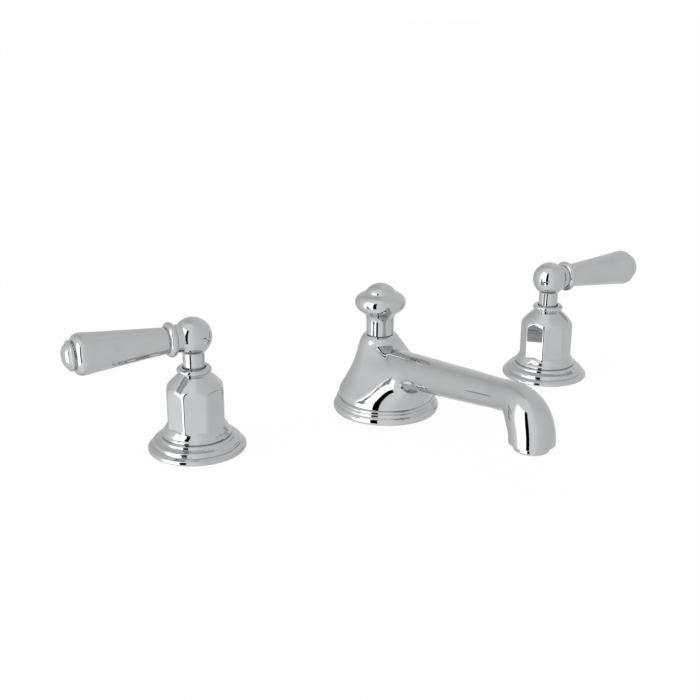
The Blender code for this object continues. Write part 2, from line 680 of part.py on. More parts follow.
def make_spindle(side, axis, brass, rubber):
    """Splined spindle with a flange and a tang that drives the moving disc, and its O-ring."""
    at = cartridge_places()
    below = (0, 0, -LEVER_HEIGHT)
    flange_radius = VALVE_BORE_RADIUS - SEAT_GAP - CARTRIDGE_WALL - RUNNING_GAP
    groove = O_RING_SECTION + SEAT_GAP
    root = PACKING_RADIUS - SEAT_GAP * 2 - O_RING_SECTION * 2
    outline = [
        (0, at["flange"]), (flange_radius, at["flange"]),
        (flange_radius, at["flange"] + SPINDLE_FLANGE_THICKNESS),
        (SPINDLE_RADIUS, at["flange"] + SPINDLE_FLANGE_THICKNESS),
        (SPINDLE_RADIUS, O_RING_HEIGHT - groove), (root, O_RING_HEIGHT - groove),
        (root, O_RING_HEIGHT + groove), (SPINDLE_RADIUS, O_RING_HEIGHT + groove),
        (SPINDLE_RADIUS, SPINDLE_SPLINE_START), (SPINDLE_RADIUS, SPINDLE_SPLINE_START + groove),
        (SPINDLE_RADIUS, SPINDLE_TOP), (0, SPINDLE_TOP),
    ]
    spindle = turned(side + "_spindle", outline, brass, SMALL_SIDES, below, axis)
    for vertex in spindle.data.vertices:
        turn = math.atan2(vertex.co.y, vertex.co.x) / FULL_TURN * SMALL_SIDES
        if vertex.co.z > SPINDLE_SPLINE_START + groove / 2 and round(turn) % 2:
            vertex.co.x *= SPLINE_ROOT_SHARE
            vertex.co.y *= SPLINE_ROOT_SHARE
    half = DISC_SLOT_WIDTH / 2 - SEAT_GAP
    reach = flange_radius * DISC_PORT_END_SHARE
    tang_bottom = at["moving"] + DISC_THICKNESS - DISC_SLOT_DEPTH + SEAT_GAP
    tang = prism(
        "tang", [(-reach, -half), (reach, -half), (reach, half), (-reach, half)],
        tang_bottom, at["flange"] + SPINDLE_FLANGE_THICKNESS / 2, brass, below, axis,
    )
    combine(spindle, tang, "UNION")
    steps = 6
    centre = PACKING_RADIUS - SEAT_GAP - O_RING_SECTION
    ring = []
    for step in range(steps):
        angle = FULL_TURN * step / steps
        ring.append((
            centre + O_RING_SECTION * math.cos(angle),
            O_RING_HEIGHT + O_RING_SECTION * math.sin(angle),
        ))
    turned(side + "_o_ring", ring, rubber, TINY_SIDES, below, axis)


def make_handle(side, direction, looks):
    """One handle station, from the flange down through the deck and up to the finial."""
    chrome, brass, steel, rubber, ceramic = looks
    place = (direction * HANDLE_CENTRES / 2, 0, 0)
    axis = new_axis(side + "_handle_axis", (place[0], place[1], LEVER_HEIGHT))
    make_flange(side, place, chrome, rubber)
    make_bonnet(side, place, chrome)
    make_collar(side, place, chrome)
    make_neck(side, axis, chrome)
    make_ball(side, axis, direction, chrome)
    make_grub_screw(side, axis, steel)
    make_lever_collar(side, axis, direction, chrome)
    make_lever(side, axis, direction, chrome)
    make_finial(side, axis, direction, chrome)
    make_valve_body(side, place, direction, brass)
    make_clamp(side, place, VALVE_SHANK_RADIUS, rubber, steel, brass)
    make_cartridge(side, place, brass)
    make_discs(side, place, axis, ceramic, rubber)
    make_spindle(side, axis, brass, rubber)


# Spout casting


def between(table, value):
    """Read a table of (place, value) pairs at a place, along straight lines."""
    for (left, low), (right, high) in zip(table, table[1:]):
        if value <= right:
            return low + (high - low) * max(0, value - left) / (right - left)
    return table[-1][1]


def bell_section(height):
    """Centre and radius of the bell's round section at a height over the deck."""
    foot = BASE_HEIGHT + SEAT_GAP
    share = min(1, max(0, (height - foot) / (BELL_TOP - foot)))
    radius = BELL_RADIUS * between([(up, out) for out, up in BELL_OUTLINE_SHARES], share)
    return Vector((0, BELL_SETBACK * share, height)), radius


def bell_depth(point):
    """How far a point is outside the bell, along the level."""
    centre, radius = bell_section(point.z)
    level = (Vector((point.x, point.y)) - centre.xy).length - radius
    return max(level, point.z - BELL_TOP)


def arm_stations():
    """Centre, direction and radius along the arm, the bend and the nose."""
    forward = Vector((0, -1, ARM_SLOPE)).normalized()
    down = Vector((0, 0, -1))
    turn = forward.angle(down)
    root = Vector((0, 0, ARM_AXIS_HEIGHT))
    corner = Vector((0, -REACH, ARM_AXIS_HEIGHT + REACH * ARM_SLOPE))
    bend_start = corner - forward * (BEND_RADIUS * math.tan(turn / 2))
    inward = (down - forward * down.dot(forward)).normalized()
    bend_centre = bend_start + inward * BEND_RADIUS
    bend_steps = 8
    stations = []
    for share in ARM_STATION_SHARES:
        radius = ARM_ROOT_RADIUS + (ARM_TIP_RADIUS - ARM_ROOT_RADIUS) * share
        stations.append((root.lerp(bend_start, share), forward, radius))
    for step in range(bend_steps + 1):
        share = step / bend_steps
        spin = Matrix.Rotation(turn * share, 3, forward.cross(down))
        swell = between(NOSE_SWELL_SHARES, share)
        radius = ARM_TIP_RADIUS + (NOSE_RADIUS - ARM_TIP_RADIUS) * swell
        centre = bend_centre + spin @ (bend_start - bend_centre)
        stations.append((centre, spin @ forward, radius))
    for out, up in NOSE_EDGE_SHARES:
        centre = Vector((0, -REACH, NOSE_END + NOSE_EDGE_HEIGHT * up))
        stations.append((centre, down, NOSE_RADIUS * out))
    return stations


def arm_depth(point, stations):
    """How far a point is outside the arm."""
    best = None
    for (first, _, near), (second, _, far) in zip(stations, stations[1:]):
        along = second - first
        share = min(1, max(0, (point - first).dot(along) / along.length_squared))
        depth = (point - first.lerp(second, share)).length - (near + (far - near) * share)
        best = depth if best is None else min(best, depth)
    return best


def ring_across(centre, direction, radius, sides):
    side = Vector((1, 0, 0))
    up = direction.cross(side)
    step = FULL_TURN / sides
    return [
        centre + side * radius * math.cos(step * index) + up * radius * math.sin(step * index)
        for index in range(sides)
    ]


def fill_corner(body, stations):
    """Pull the casting's surface out to a smooth fillet where the arm leaves the bell."""
    reach = BELL_RADIUS * 2

    def depth(point):
        bell, arm = bell_depth(point), arm_depth(point, stations)
        near = max(0, 1 - abs(bell - arm) / CASTING_FILLET)
        return min(bell, arm) - near * near * CASTING_FILLET / 4

    for vertex in body.data.vertices:
        point = vertex.co.copy()
        high = point.z > BELL_TOP - BELL_RADIUS / 8
        low = point.z < BASE_HEIGHT + BELL_RADIUS / 8
        if high or low or point.y < -reach:
            continue
        probe = SEAT_GAP / 3
        for _ in range(3):
            value = depth(point)
            if value > -probe / 4:
                break
            slope = Vector([
                depth(point + shift) - depth(point - shift)
                for shift in (Vector((probe, 0, 0)), Vector((0, probe, 0)), Vector((0, 0, probe)))
            ]) / (2 * probe)
            point -= slope * (value / max(slope.length_squared, 0.25))
        vertex.co = point


def make_spout_body(chrome):
    """Hollow casting: the bell and the arm, with the waterway and the rod's hole through it."""
    foot = BASE_HEIGHT + SEAT_GAP
    rings = []
    for out, up in BELL_OUTLINE_SHARES:
        centre, _ = bell_section(foot + (BELL_TOP - foot) * up)
        rings.append(ring_across(centre, Vector((0, 0, -1)), BELL_RADIUS * out, BELL_SIDES))
    body = lofted("spout_body", rings, chrome)
    stations = arm_stations()
    arm_rings = [ring_across(*station, SMALL_SIDES) for station in stations]
    combine(body, lofted("arm", arm_rings, chrome), "UNION")
    fill_corner(body, stations)
    cut_waterway(body, stations, chrome)
    cut_foot(body, chrome)
    return body


def cut_waterway(body, stations, chrome):
    """Bore from the shank up to the arm, along it, and out of the nose."""
    rise = Vector((0, -SHANK_BORE_OFFSET, 0))
    over_rise = Vector((0, rise.y, ARM_AXIS_HEIGHT - rise.y * ARM_SLOPE))
    route = [(over_rise, stations[0][1])]
    for centre, direction, _ in stations[:-len(NOSE_EDGE_SHARES)]:
        if centre.y < rise.y:
            route.append((centre, direction))
    rings = [ring_across(*place, WATERWAY_RADIUS, TINY_SIDES) for place in route]
    combine(body, lofted("way", rings, chrome))
    seat = BASE_HEIGHT + SEAT_GAP + BOSS_DEPTH
    combine(body, rod(
        "riser", SHANK_BORE_RADIUS, seat - CUT_OVERRUN, ARM_AXIS_HEIGHT + WATERWAY_RADIUS,
        chrome, TINY_SIDES, rise,
    ))
    thread = AERATOR_RADIUS - AERATOR_WALL / 2
    combine(body, rod(
        "mouth", thread, NOSE_END - CUT_OVERRUN, NOSE_END + AERATOR_SKIRT_LENGTH + SEAT_GAP,
        chrome, SMALL_SIDES, (0, -REACH, 0),
    ))


def cut_foot(body, chrome):
    """Socket for the shank, a relief round it, and the hole for the lift rod."""
    foot = BASE_HEIGHT + SEAT_GAP
    socket = SHANK_RADIUS + SEAT_GAP
    combine(body, rod(
        "socket", socket, foot - CUT_OVERRUN, foot + BOSS_DEPTH, chrome, SMALL_SIDES
    ))
    combine(body, tube(
        "relief", socket + BOSS_WALL, BELL_RADIUS - RELIEF_WALL, foot - CUT_OVERRUN,
        foot + RELIEF_DEPTH, chrome, MEDIUM_SIDES,
    ))
    combine(body, rod(
        "rod_hole", ROD_RADIUS + RUNNING_GAP, 0, BELL_TOP + CUT_OVERRUN,
        chrome, TINY_SIDES, (0, BELL_SETBACK, 0),
    ))


def make_base_ring(chrome, rubber):
    """Moulded ring between the casting and the deck, with its gasket let in below."""
    bore = SHANK_RADIUS + SEAT_GAP
    recess_radius = BASE_RADIUS - FLANGE_RIM_WIDTH
    recess_height = GASKET_THICKNESS + SEAT_GAP
    outline = [(recess_radius, 0)]
    outline += shared_outline(BASE_OUTLINE_SHARES, BASE_RADIUS, 0, BASE_HEIGHT)
    outline += [(bore, BASE_HEIGHT), (bore, recess_height), (recess_radius, recess_height)]
    turned("spout_base_ring", outline, chrome, LARGE_SIDES)
    gasket_radius = recess_radius - SEAT_GAP
    tube(
        "spout_base_gasket", gasket_radius - GASKET_WIDTH, gasket_radius,
        0, GASKET_THICKNESS, rubber, SMALL_SIDES,
    )


def make_shank(brass):
    """Threaded shank with a waterway in front, the rod's passage behind and two side inlets."""
    top = BASE_HEIGHT + BOSS_DEPTH
    shank = rod("spout_shank", SHANK_RADIUS, -SHANK_BOTTOM, top, brass, SMALL_SIDES)
    middle = (0, -SHANK_BORE_OFFSET, -SHANK_PORT_DEPTH)
    for direction in (-1, 1):
        port = rod("port", PORT_RADIUS, SHANK_BORE_RADIUS, SHANK_PORT_REACH, brass, TINY_SIDES, middle)
        combine(shank, lever_frame(port, direction), "UNION")
    bore = rod(
        "bore", SHANK_BORE_RADIUS, -SHANK_BORE_FLOOR, top + CUT_OVERRUN,
        brass, TINY_SIDES, (0, -SHANK_BORE_OFFSET, 0),
    )
    bore.rotation_euler.z = FULL_TURN / TINY_SIDES / 2
    combine(shank, bore)
    for direction in (-1, 1):
        branch = rod(
            "branch", PORT_BORE_RADIUS, SHANK_BORE_RADIUS / 2, SHANK_PORT_REACH + CUT_OVERRUN,
            brass, TINY_SIDES, middle,
        )
        combine(shank, lever_frame(branch, direction), solver="MANIFOLD")
    combine(shank, rod(
        "rod_passage", ROD_RADIUS + RUNNING_GAP, -SHANK_BOTTOM - CUT_OVERRUN, top + CUT_OVERRUN,
        brass, TINY_SIDES, (0, BELL_SETBACK, 0),
    ), solver="MANIFOLD")


def make_aerator(chrome, plastic):
    """Screwed-in outlet ring, and the perforated insert that it holds."""
    place = (0, -REACH, 0)
    lip_top = NOSE_END - SEAT_GAP
    lip_bottom = lip_top - AERATOR_LIP
    skirt = AERATOR_RADIUS - AERATOR_WALL / 2 - SEAT_GAP
    bore = skirt - AERATOR_WALL
    ledge = bore - AERATOR_WALL / 2
    chamfer = AERATOR_LIP / 5
    insert_bottom = lip_top + SEAT_GAP
    outline = [
        (ledge, lip_bottom), (AERATOR_RADIUS - chamfer, lip_bottom),
        (AERATOR_RADIUS, lip_bottom + chamfer), (AERATOR_RADIUS, lip_top), (skirt, lip_top),
        (skirt, NOSE_END + AERATOR_SKIRT_LENGTH - SEAT_GAP),
        (bore, NOSE_END + AERATOR_SKIRT_LENGTH - SEAT_GAP), (bore, lip_top), (ledge, lip_top),
    ]
    turned("aerator_ring", outline, chrome, SMALL_SIDES, place)
    insert = rod(
        "aerator_insert", bore - SEAT_GAP, insert_bottom, insert_bottom + INSERT_THICKNESS,
        plastic, SMALL_SIDES, place,
    )
    ring = bore * INSERT_HOLE_RING_SHARE
    for x, y in polygon(ring, INSERT_HOLE_COUNT, FULL_TURN / INSERT_HOLE_COUNT / 3):
        combine(insert, rod(
            "hole", INSERT_HOLE_RADIUS, insert_bottom - CUT_OVERRUN,
            insert_bottom + INSERT_THICKNESS + CUT_OVERRUN, plastic, NUT_SIDES,
            (x, y - REACH, 0),
        ))


# Lift knob and rod


def make_lift(chrome, brass):
    """Knob that rests on the bell's top, and the rod screwed into it."""
    bottom = BELL_TOP + SEAT_GAP
    axis = new_axis("lift_axis", (0, BELL_SETBACK, bottom))
    height = KNOB_TOP - bottom
    bore = ROD_RADIUS + SEAT_GAP
    outline = [(bore, 0)]
    outline += shared_outline(KNOB_OUTLINE_SHARES, KNOB_RADIUS, 0, height)
    outline += [(0, ROD_ENGAGEMENT + SEAT_GAP), (bore, ROD_ENGAGEMENT + SEAT_GAP)]
    turned("lift_knob", outline, chrome, MEDIUM_SIDES, (0, 0, 0), axis)
    tip = ROD_RADIUS / 3
    rod_outline = [
        (0, -ROD_DEPTH - bottom), (ROD_RADIUS - tip, -ROD_DEPTH - bottom),
        (ROD_RADIUS, tip - ROD_DEPTH - bottom), (ROD_RADIUS, ROD_ENGAGEMENT), (0, ROD_ENGAGEMENT),
    ]
    turned("lift_rod", rod_outline, brass, TINY_SIDES, (0, 0, 0), axis)


def shade(piece):
    piece.data.shade_smooth()
    piece.data.set_sharp_from_angle(angle=SHARP_ANGLE)


def build():
    for item in list(bpy.data.objects):
        bpy.data.objects.remove(item)
    chrome = finish("polished_chrome", (0.72, 0.73, 0.74), 0.06, 1)
    brass = finish("rough_brass", (0.66, 0.50, 0.26), 0.35, 1)
    steel = finish("zinc_steel", (0.55, 0.55, 0.53), 0.4, 1)
    rubber = finish("black_rubber", (0.03, 0.03, 0.03), 0.8, 0)
    ceramic = finish("white_ceramic", (0.86, 0.85, 0.82), 0.25, 0)
    plastic = finish("grey_plastic", (0.30, 0.31, 0.32), 0.5, 0)
    looks = (chrome, brass, steel, rubber, ceramic)
    make_base_ring(chrome, rubber)
    make_spout_body(chrome)
    make_shank(brass)
    make_clamp("spout", (0, 0, 0), SHANK_RADIUS, rubber, steel, brass)
    make_aerator(chrome, plastic)
    make_lift(chrome, brass)
    make_handle("hot", -1, looks)
    make_handle("cold", 1, looks)
    for piece in bpy.data.objects:
        if piece.type == "MESH":
            shade(piece)


build()
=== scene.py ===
import math

import bpy
import numpy as np
from mathutils import Matrix, Vector


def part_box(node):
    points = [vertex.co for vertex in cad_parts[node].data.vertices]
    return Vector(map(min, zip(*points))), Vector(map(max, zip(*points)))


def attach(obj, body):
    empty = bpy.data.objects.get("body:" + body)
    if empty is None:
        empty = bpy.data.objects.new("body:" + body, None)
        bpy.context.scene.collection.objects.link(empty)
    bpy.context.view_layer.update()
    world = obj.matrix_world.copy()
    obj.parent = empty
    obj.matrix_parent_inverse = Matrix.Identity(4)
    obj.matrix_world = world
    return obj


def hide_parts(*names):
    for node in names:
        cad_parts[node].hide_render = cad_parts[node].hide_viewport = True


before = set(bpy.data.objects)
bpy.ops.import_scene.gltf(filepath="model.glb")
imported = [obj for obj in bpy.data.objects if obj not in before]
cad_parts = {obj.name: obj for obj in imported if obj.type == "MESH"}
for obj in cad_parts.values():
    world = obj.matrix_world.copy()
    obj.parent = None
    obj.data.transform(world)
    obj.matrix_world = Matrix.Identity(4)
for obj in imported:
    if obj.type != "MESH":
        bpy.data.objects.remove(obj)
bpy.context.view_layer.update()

# Base ring under the spout
# A turned brass moulding of three steps, polished and chrome plated. The spout's casting
# stands on it and the shank pulls both down on the deck.
NEARLY_STRAIGHT = math.radians(89)
TINY, GUARD = 1e-6, 1e-12
FACES_OUT, THREAD_SLOPE = 0.9, 3.2


def rounded(corners, step=math.radians(9)):
    """Profile of straight lines whose corners (radius, height, fillet) are rounded by arcs."""
    points = []
    for index, (out, up, *fillet) in enumerate(corners):
        corner = Vector((out, up))
        if not fillet or index in (0, len(corners) - 1):
            points.append(corner)
            continue
        back = Vector(corners[index - 1][:2]) - corner
        ahead = Vector(corners[index + 1][:2]) - corner
        half = back.angle(ahead) / 2
        if half > NEARLY_STRAIGHT:
            points.append(corner)
            continue
        trim = min(fillet[0] / math.tan(half), back.length / 2, ahead.length / 2)
        inward = (back.normalized() + ahead.normalized()).normalized()
        centre = corner + inward * (trim / math.cos(half))
        spoke = corner + back.normalized() * trim - centre
        sweep = math.pi - 2 * half
        if back.x * ahead.y - back.y * ahead.x > 0:
            sweep = -sweep
        count = max(2, math.ceil(abs(sweep) / step))
        for k in range(count + 1):
            angle = sweep * k / count
            points.append(centre + Vector((
                spoke.x * math.cos(angle) - spoke.y * math.sin(angle),
                spoke.x * math.sin(angle) + spoke.y * math.cos(angle),
            )))
    return [tuple(point) for point in points]


def flowing(points, count):
    """Even steps along the smooth curve through some points, with no kink in its curvature."""
    knots = np.array(points, float)
    spans = np.linalg.norm(np.diff(knots, axis=0), axis=1)
    places = np.concatenate([[0], np.cumsum(spans)])
    size = len(knots)
    system, right = np.eye(size), np.zeros((size, 2))
    for k in range(1, size - 1):
        system[k, k - 1:k + 2] = spans[k - 1], 2 * (spans[k - 1] + spans[k]), spans[k]
        right[k] = 6 * ((knots[k + 1] - knots[k]) / spans[k] - (knots[k] - knots[k - 1]) / spans[k - 1])
    bend = np.linalg.solve(system, right)
    result = []
    for place in np.linspace(0, places[-1], count):
        k = min(size - 2, int(np.searchsorted(places, place, side="right")) - 1)
        near, far, span = place - places[k], places[k + 1] - place, spans[k]
        point = (bend[k] * far ** 3 + bend[k + 1] * near ** 3) / (6 * span)
        point = point + (knots[k] / span - bend[k] * span / 6) * far
        point = point + (knots[k + 1] / span - bend[k + 1] * span / 6) * near
        result.append(tuple(point))
    return result


def mesh_piece(name, points, faces, normals=None, matrix=None):
    """New object from points and faces, smooth, with its own normals where they are given."""
    mesh = bpy.data.meshes.new(name)
    mesh.from_pydata([tuple(point) for point in points], [], faces)
    mesh.polygons.foreach_set("use_smooth", [True] * len(mesh.polygons))
    mesh.update()
    if matrix is not None:
        mesh.transform(matrix)
    if normals is not None:
        turn = np.eye(3) if matrix is None else np.array(matrix.to_3x3())
        mesh.normals_split_custom_set_from_vertices((np.array(normals) @ turn.T).tolist())
    piece = bpy.data.objects.new(name, mesh)
    bpy.context.scene.collection.objects.link(piece)
    return piece


def crisp(piece, angle=35):
    """Smooth shading with sharp edges past the angle."""
    mesh = piece.data
    mesh.polygons.foreach_set("use_smooth", [True] * len(mesh.polygons))
    mesh.set_sharp_from_angle(angle=math.radians(angle))


def faces_between(rows, closed):
    """Faces between each row of points and the next; on the axis a row repeats one point."""
    faces = []
    for lower, upper in zip(rows, rows[1:] + rows[:1] if closed else rows[1:]):
        for k in range(len(lower)):
            n = (k + 1) % len(lower)
            corners = [lower[k], lower[n], upper[n], upper[k]]
            faces.append([c for i, c in enumerate(corners) if c not in corners[:i]])
    return faces


def turned(name, outline, sides=128, closed=False, matrix=None, threads=()):
    """Piece turned round Z from a profile of (radius, height) that runs up its outer side.

    Each thread is (lowest, highest, pitch, depth): the outer skin between these heights
    winds round the piece as a screw thread, with flats on its crests and roots.
    """
    profile = np.array(outline, float)
    ahead = np.roll(profile, -1, axis=0) - profile
    if not closed:
        ahead[-1] = 0
    outward = np.stack([ahead[:, 1], -ahead[:, 0]], axis=1)
    outward = outward + np.roll(outward, 1, axis=0)
    outward /= np.maximum(np.linalg.norm(outward, axis=1, keepdims=True), GUARD)
    angles = np.arange(sides) * 2 * math.pi / sides
    points, normals, rows = [], [], []
    for (radius, height), (across, along) in zip(profile, outward):
        if radius < TINY:
            rows.append([len(points)] * sides)
            points.append((0, 0, height))
            normals.append((0, 0, math.copysign(1, along)))
            continue
        rows.append(list(range(len(points), len(points) + sides)))
        radii = np.full(sides, radius)
        for low, high, pitch, depth in threads:
            if low <= height <= high and across > FACES_OUT:
                fade = min(1, (height - low) / pitch, (high - height) / pitch)
                wind = (height / pitch - angles / (2 * math.pi)) % 1
                groove = np.clip(THREAD_SLOPE * (0.5 - np.abs(wind - 0.5)), 0, 1)
                radii = radius - depth * fade * groove
        for angle, reach in zip(angles, radii):
            points.append((reach * math.cos(angle), reach * math.sin(angle), height))
            normals.append((across * math.cos(angle), across * math.sin(angle), along))
    faces = faces_between(rows, closed)
    piece = mesh_piece(name, points, faces, None if threads else normals, matrix)
    if threads:
        crisp(piece)
    return piece


def round_edge(inner, outer, height, half, angles):
    """Profile of a bead: part of an ellipse, between these angles."""
    return [(inner + (outer - inner) * math.cos(a), height + half * math.sin(a)) for a in angles]


def coat(piece, material):
    piece.data.materials.clear()
    piece.data.materials.append(material)


def install(piece, material, slot, body, *nodes):
    """Give a piece its material and its body, and hide the nodes that it stands for; the slot is not used.
    """
    coat(piece, material)
    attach(piece, body)
    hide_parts(*nodes)


def group_of(name, **inputs):
    """Empty shader node group, with the sockets that give its inputs."""
    group = bpy.data.node_groups.new(name, "ShaderNodeTree")
    for label, value in inputs.items():
        label = label.replace("_", " ")
        socket = group.interface.new_socket(label, in_out="INPUT", socket_type="NodeSocketFloat")
        socket.default_value = value
    return group, group.nodes.new("NodeGroupInput").outputs


def completed(group, **outputs):
    """Shader node group with its outputs."""
    for label in outputs:
        group.interface.new_socket(label, in_out="OUTPUT", socket_type="NodeSocketFloat")
    out = group.nodes.new("NodeGroupOutput")
    for label, socket in outputs.items():
        group.links.new(socket, out.inputs[label])
    return group


def node(tree, kind, **inputs):
    """New shader node; a value sets an input, a socket is linked to it, and i0 is the first one."""
    made = tree.nodes.new("ShaderNode" + kind)
    for label, value in inputs.items():
        socket = made.inputs[int(label[1:]) if label[1:].isdigit() else label.replace("_", " ")]
        if isinstance(value, bpy.types.NodeSocket):
            tree.links.new(value, socket)
        else:
            socket.default_value = value
    return made


def sums(tree, operation, *values):
    """Output of a maths node."""
    made = node(tree, "Math", **{"i%d" % k: value for k, value in enumerate(values)})
    made.operation = operation
    return made.outputs[0]


def ramp(tree, value, low, high, start=0.0, end=1.0):
    """Soft step from start to end while the value goes from low to high."""
    made = node(tree, "MapRange", Value=value, From_Min=low, From_Max=high, To_Min=start, To_Max=end)
    made.interpolation_type = "SMOOTHSTEP"
    return made.outputs["Result"]


def noise(tree, where, scale, detail):
    return node(tree, "TexNoise", Vector=where, Scale=scale, Detail=detail).outputs[0]


def plated_polish():
    """Buffed plating: a thin haze that comes and goes, dried water marks, and faint waves."""
    group, given = group_of(
        "plated_polish", Haze=0.03, Smears=0.03, Smear_Size=70.0, Grain_Size=2600.0, Waves=1.0
    )
    where = node(group, "TexCoord").outputs["Object"]
    smear = noise(group, where, given["Smear Size"], 4.0)
    stretched = node(group, "Mapping", Vector=where, Scale=(1.0, 1.0, 0.35)).outputs[0]
    wipe = noise(group, stretched, given["Grain Size"], 2.0)
    drop = node(group, "TexVoronoi", Vector=where, Scale=given["Smear Size"]).outputs["Distance"]
    drop_edge, drop_rim = 0.12, 0.04
    rim = sums(group, "MULTIPLY", ramp(group, drop, drop_edge + drop_rim, drop_edge),
               ramp(group, drop, drop_edge - drop_rim, drop_edge))
    rim = sums(group, "MULTIPLY", rim, ramp(group, smear, 0.50, 0.60))
    dull = sums(group, "ADD", ramp(group, smear, 0.48, 0.72), rim)
    rough = sums(group, "MULTIPLY_ADD", dull, given["Smears"], given["Haze"])
    rough = sums(group, "MULTIPLY_ADD", wipe, sums(group, "MULTIPLY", given["Haze"], 0.5), rough)
    height = sums(group, "MULTIPLY", noise(group, where, 140.0, 1.0), given["Waves"])
    height = sums(group, "MULTIPLY_ADD", wipe, 0.06, height)
    return completed(group, Roughness=rough, Dullness=dull, Height=height)


POLISH = plated_polish()


def place_group(tree, group, **values):
    """Outputs of a shader node group, placed in a material with its own values."""
    made = tree.nodes.new("ShaderNodeGroup")
    made.node_tree = group
    for label, value in values.items():
        made.inputs[label.replace("_", " ")].default_value = value
    return made.outputs


def surface(name):
    """New material; returns it with its node tree and its Principled shader."""
    material = bpy.data.materials.new(name)
    material.use_nodes = True
    return material, material.node_tree, material.node_tree.nodes["Principled BSDF"]


def blend_colours(tree, share, first, second):
    """Colour that goes from the first to the second with the share."""
    made = tree.nodes.new("ShaderNodeMix")
    made.data_type = "RGBA"
    tree.links.new(share, made.inputs[0])
    made.inputs[6].default_value = (*first, 1)
    made.inputs[7].default_value = (*second, 1)
    return made.outputs[2]


def finish_surface(tree, shader, colour, roughness, relief, strength, depth, metallic=1.0):
    """Link a colour, a roughness and a fine relief to a material's shader."""
    tree.links.new(colour, shader.inputs["Base Color"])
    tree.links.new(roughness, shader.inputs["Roughness"])
    shader.inputs["Metallic"].default_value = metallic
    bump = node(tree, "Bump", Height=relief, Strength=strength, Distance=depth)
    tree.links.new(bump.outputs[0], shader.inputs["Normal"])


CHROME_BRIGHT = (0.550, 0.555, 0.560)
CHROME_DULL = (0.525, 0.530, 0.536)


def chrome_plate(name, **finish):
    """Chrome over polished brass: a mirror, a touch duller where water has dried in spots."""
    material, tree, shader = surface(name)
    polish = place_group(tree, POLISH, **finish)
    colour = blend_colours(tree, polish["Dullness"], CHROME_BRIGHT, CHROME_DULL)
    finish_surface(tree, shader, colour, polish["Roughness"], polish["Height"], 0.25, 0.00001)
    return material


casting_chrome = chrome_plate("chrome_on_casting", Haze=0.030, Smears=0.030)
turned_chrome = chrome_plate("chrome_on_turned_brass", Haze=0.025, Smears=0.025, Smear_Size=95.0)


def plated(name, outline, sides, closed, matrix, body, node_name):
    """Turned piece, polished and chrome plated, for one node."""
    piece = turned(name, outline, sides, closed, matrix)
    install(piece, turned_chrome, "chrome", body, node_name)


ring_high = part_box("spout_base_ring")[1]
RING = ring_high.x
RING_TOP = ring_high.z
RING_BORE = 0.0145
RECESS = 0.0017
RECESS_INNER, RECESS_OUTER = 0.0187, 0.0266
plated("base_ring", rounded([
    (RING_BORE, 0.0, 0.0003), (RECESS_INNER, 0.0, 0.0002), (RECESS_INNER, RECESS, 0.0002),
    (RECESS_OUTER, RECESS, 0.0002), (RECESS_OUTER, 0.0, 0.0002),
    (RING - 0.0006, 0.0, 0.0004), (RING, 0.0011, 0.0014), (RING, 0.0034, 0.0014),
    (RING - 0.0013, 0.0042, 0.0003), (RING - 0.0012, 0.0047, 0.0004), (RING - 0.0012, 0.0056, 0.0008),
    (RING - 0.0019, 0.0060, 0.0002), (RING - 0.0017, 0.0063, 0.0003), (RING - 0.0017, 0.0071, 0.0007),
    (RING - 0.0028, RING_TOP, 0.0003), (RING_BORE, RING_TOP, 0.0003), (RING_BORE, 0.0),
])[:-1], 160, True, None, "root", "spout_base_ring")

# Gaskets and washers
# Moulded rubber rings let into the base ring and the flanges, which seal them on the deck, and
# below the deck a rubber washer and a zinc-plated steel one under each locknut.


def moulded_grain():
    """Fine pits of a mould and soft patches of dust, for rubber, plastic and ceramic."""
    group, given = group_of("moulded_grain", Grain_Size=3000.0, Dust_Size=160.0)
    where = node(group, "TexCoord").outputs["Object"]
    grain = ramp(group, noise(group, where, given["Grain Size"], 3.0), 0.35, 0.65)
    dust = ramp(group, noise(group, where, given["Dust Size"], 6.0), 0.45, 0.75)
    return completed(group, Grain=grain, Dust=dust)


GRAIN = moulded_grain()


def moulded(name, clean, dusty, smooth, rough, depth, **sizes):
    """Rubber, plastic or ceramic: its colour fades a little where dust lies, its skin has pits."""
    material, tree, shader = surface(name)
    marks = place_group(tree, GRAIN, **sizes)
    colour, grain = blend_colours(tree, marks["Dust"], clean, dusty), marks["Grain"]
    finish_surface(tree, shader, colour, ramp(tree, grain, 0.0, 1.0, smooth, rough), grain, 0.5, depth, 0.0)
    return material


def lathe_marks():
    """Rings that a tool leaves round an upright piece, and stains of handling."""
    group, given = group_of("lathe_marks", Ring_Size=5000.0, Stain_Size=150.0)
    where = node(group, "TexCoord").outputs["Object"]
    flat = node(group, "Mapping", Vector=where, Scale=(0.02, 0.02, 1.0)).outputs[0]
    rings = ramp(group, noise(group, flat, given["Ring Size"], 2.0), 0.30, 0.70)
    stains = ramp(group, noise(group, where, given["Stain Size"], 6.0), 0.42, 0.75)
    return completed(group, Rings=rings, Stains=stains)


LATHE = lathe_marks()


def machined(name, bright, stained, smooth, rough, **sizes):
    """Bare or zinc-plated metal as it comes off the lathe."""
    material, tree, shader = surface(name)
    marks = place_group(tree, LATHE, **sizes)
    rings, stains = marks["Rings"], marks["Stains"]
    colour = blend_colours(tree, stains, bright, stained)
    uneven = sums(tree, "MULTIPLY", sums(tree, "ADD", rings, stains), 0.5)
    finish_surface(tree, shader, colour, ramp(tree, uneven, 0.0, 1.0, smooth, rough), rings, 0.4, 0.00001)
    return material


black_rubber = moulded("black_rubber", (0.022, 0.022, 0.023), (0.060, 0.058, 0.055), 0.62, 0.85, 0.00003)
zinc_steel = machined("zinc_plated_steel", (0.56, 0.56, 0.54), (0.44, 0.45, 0.47), 0.30, 0.48)


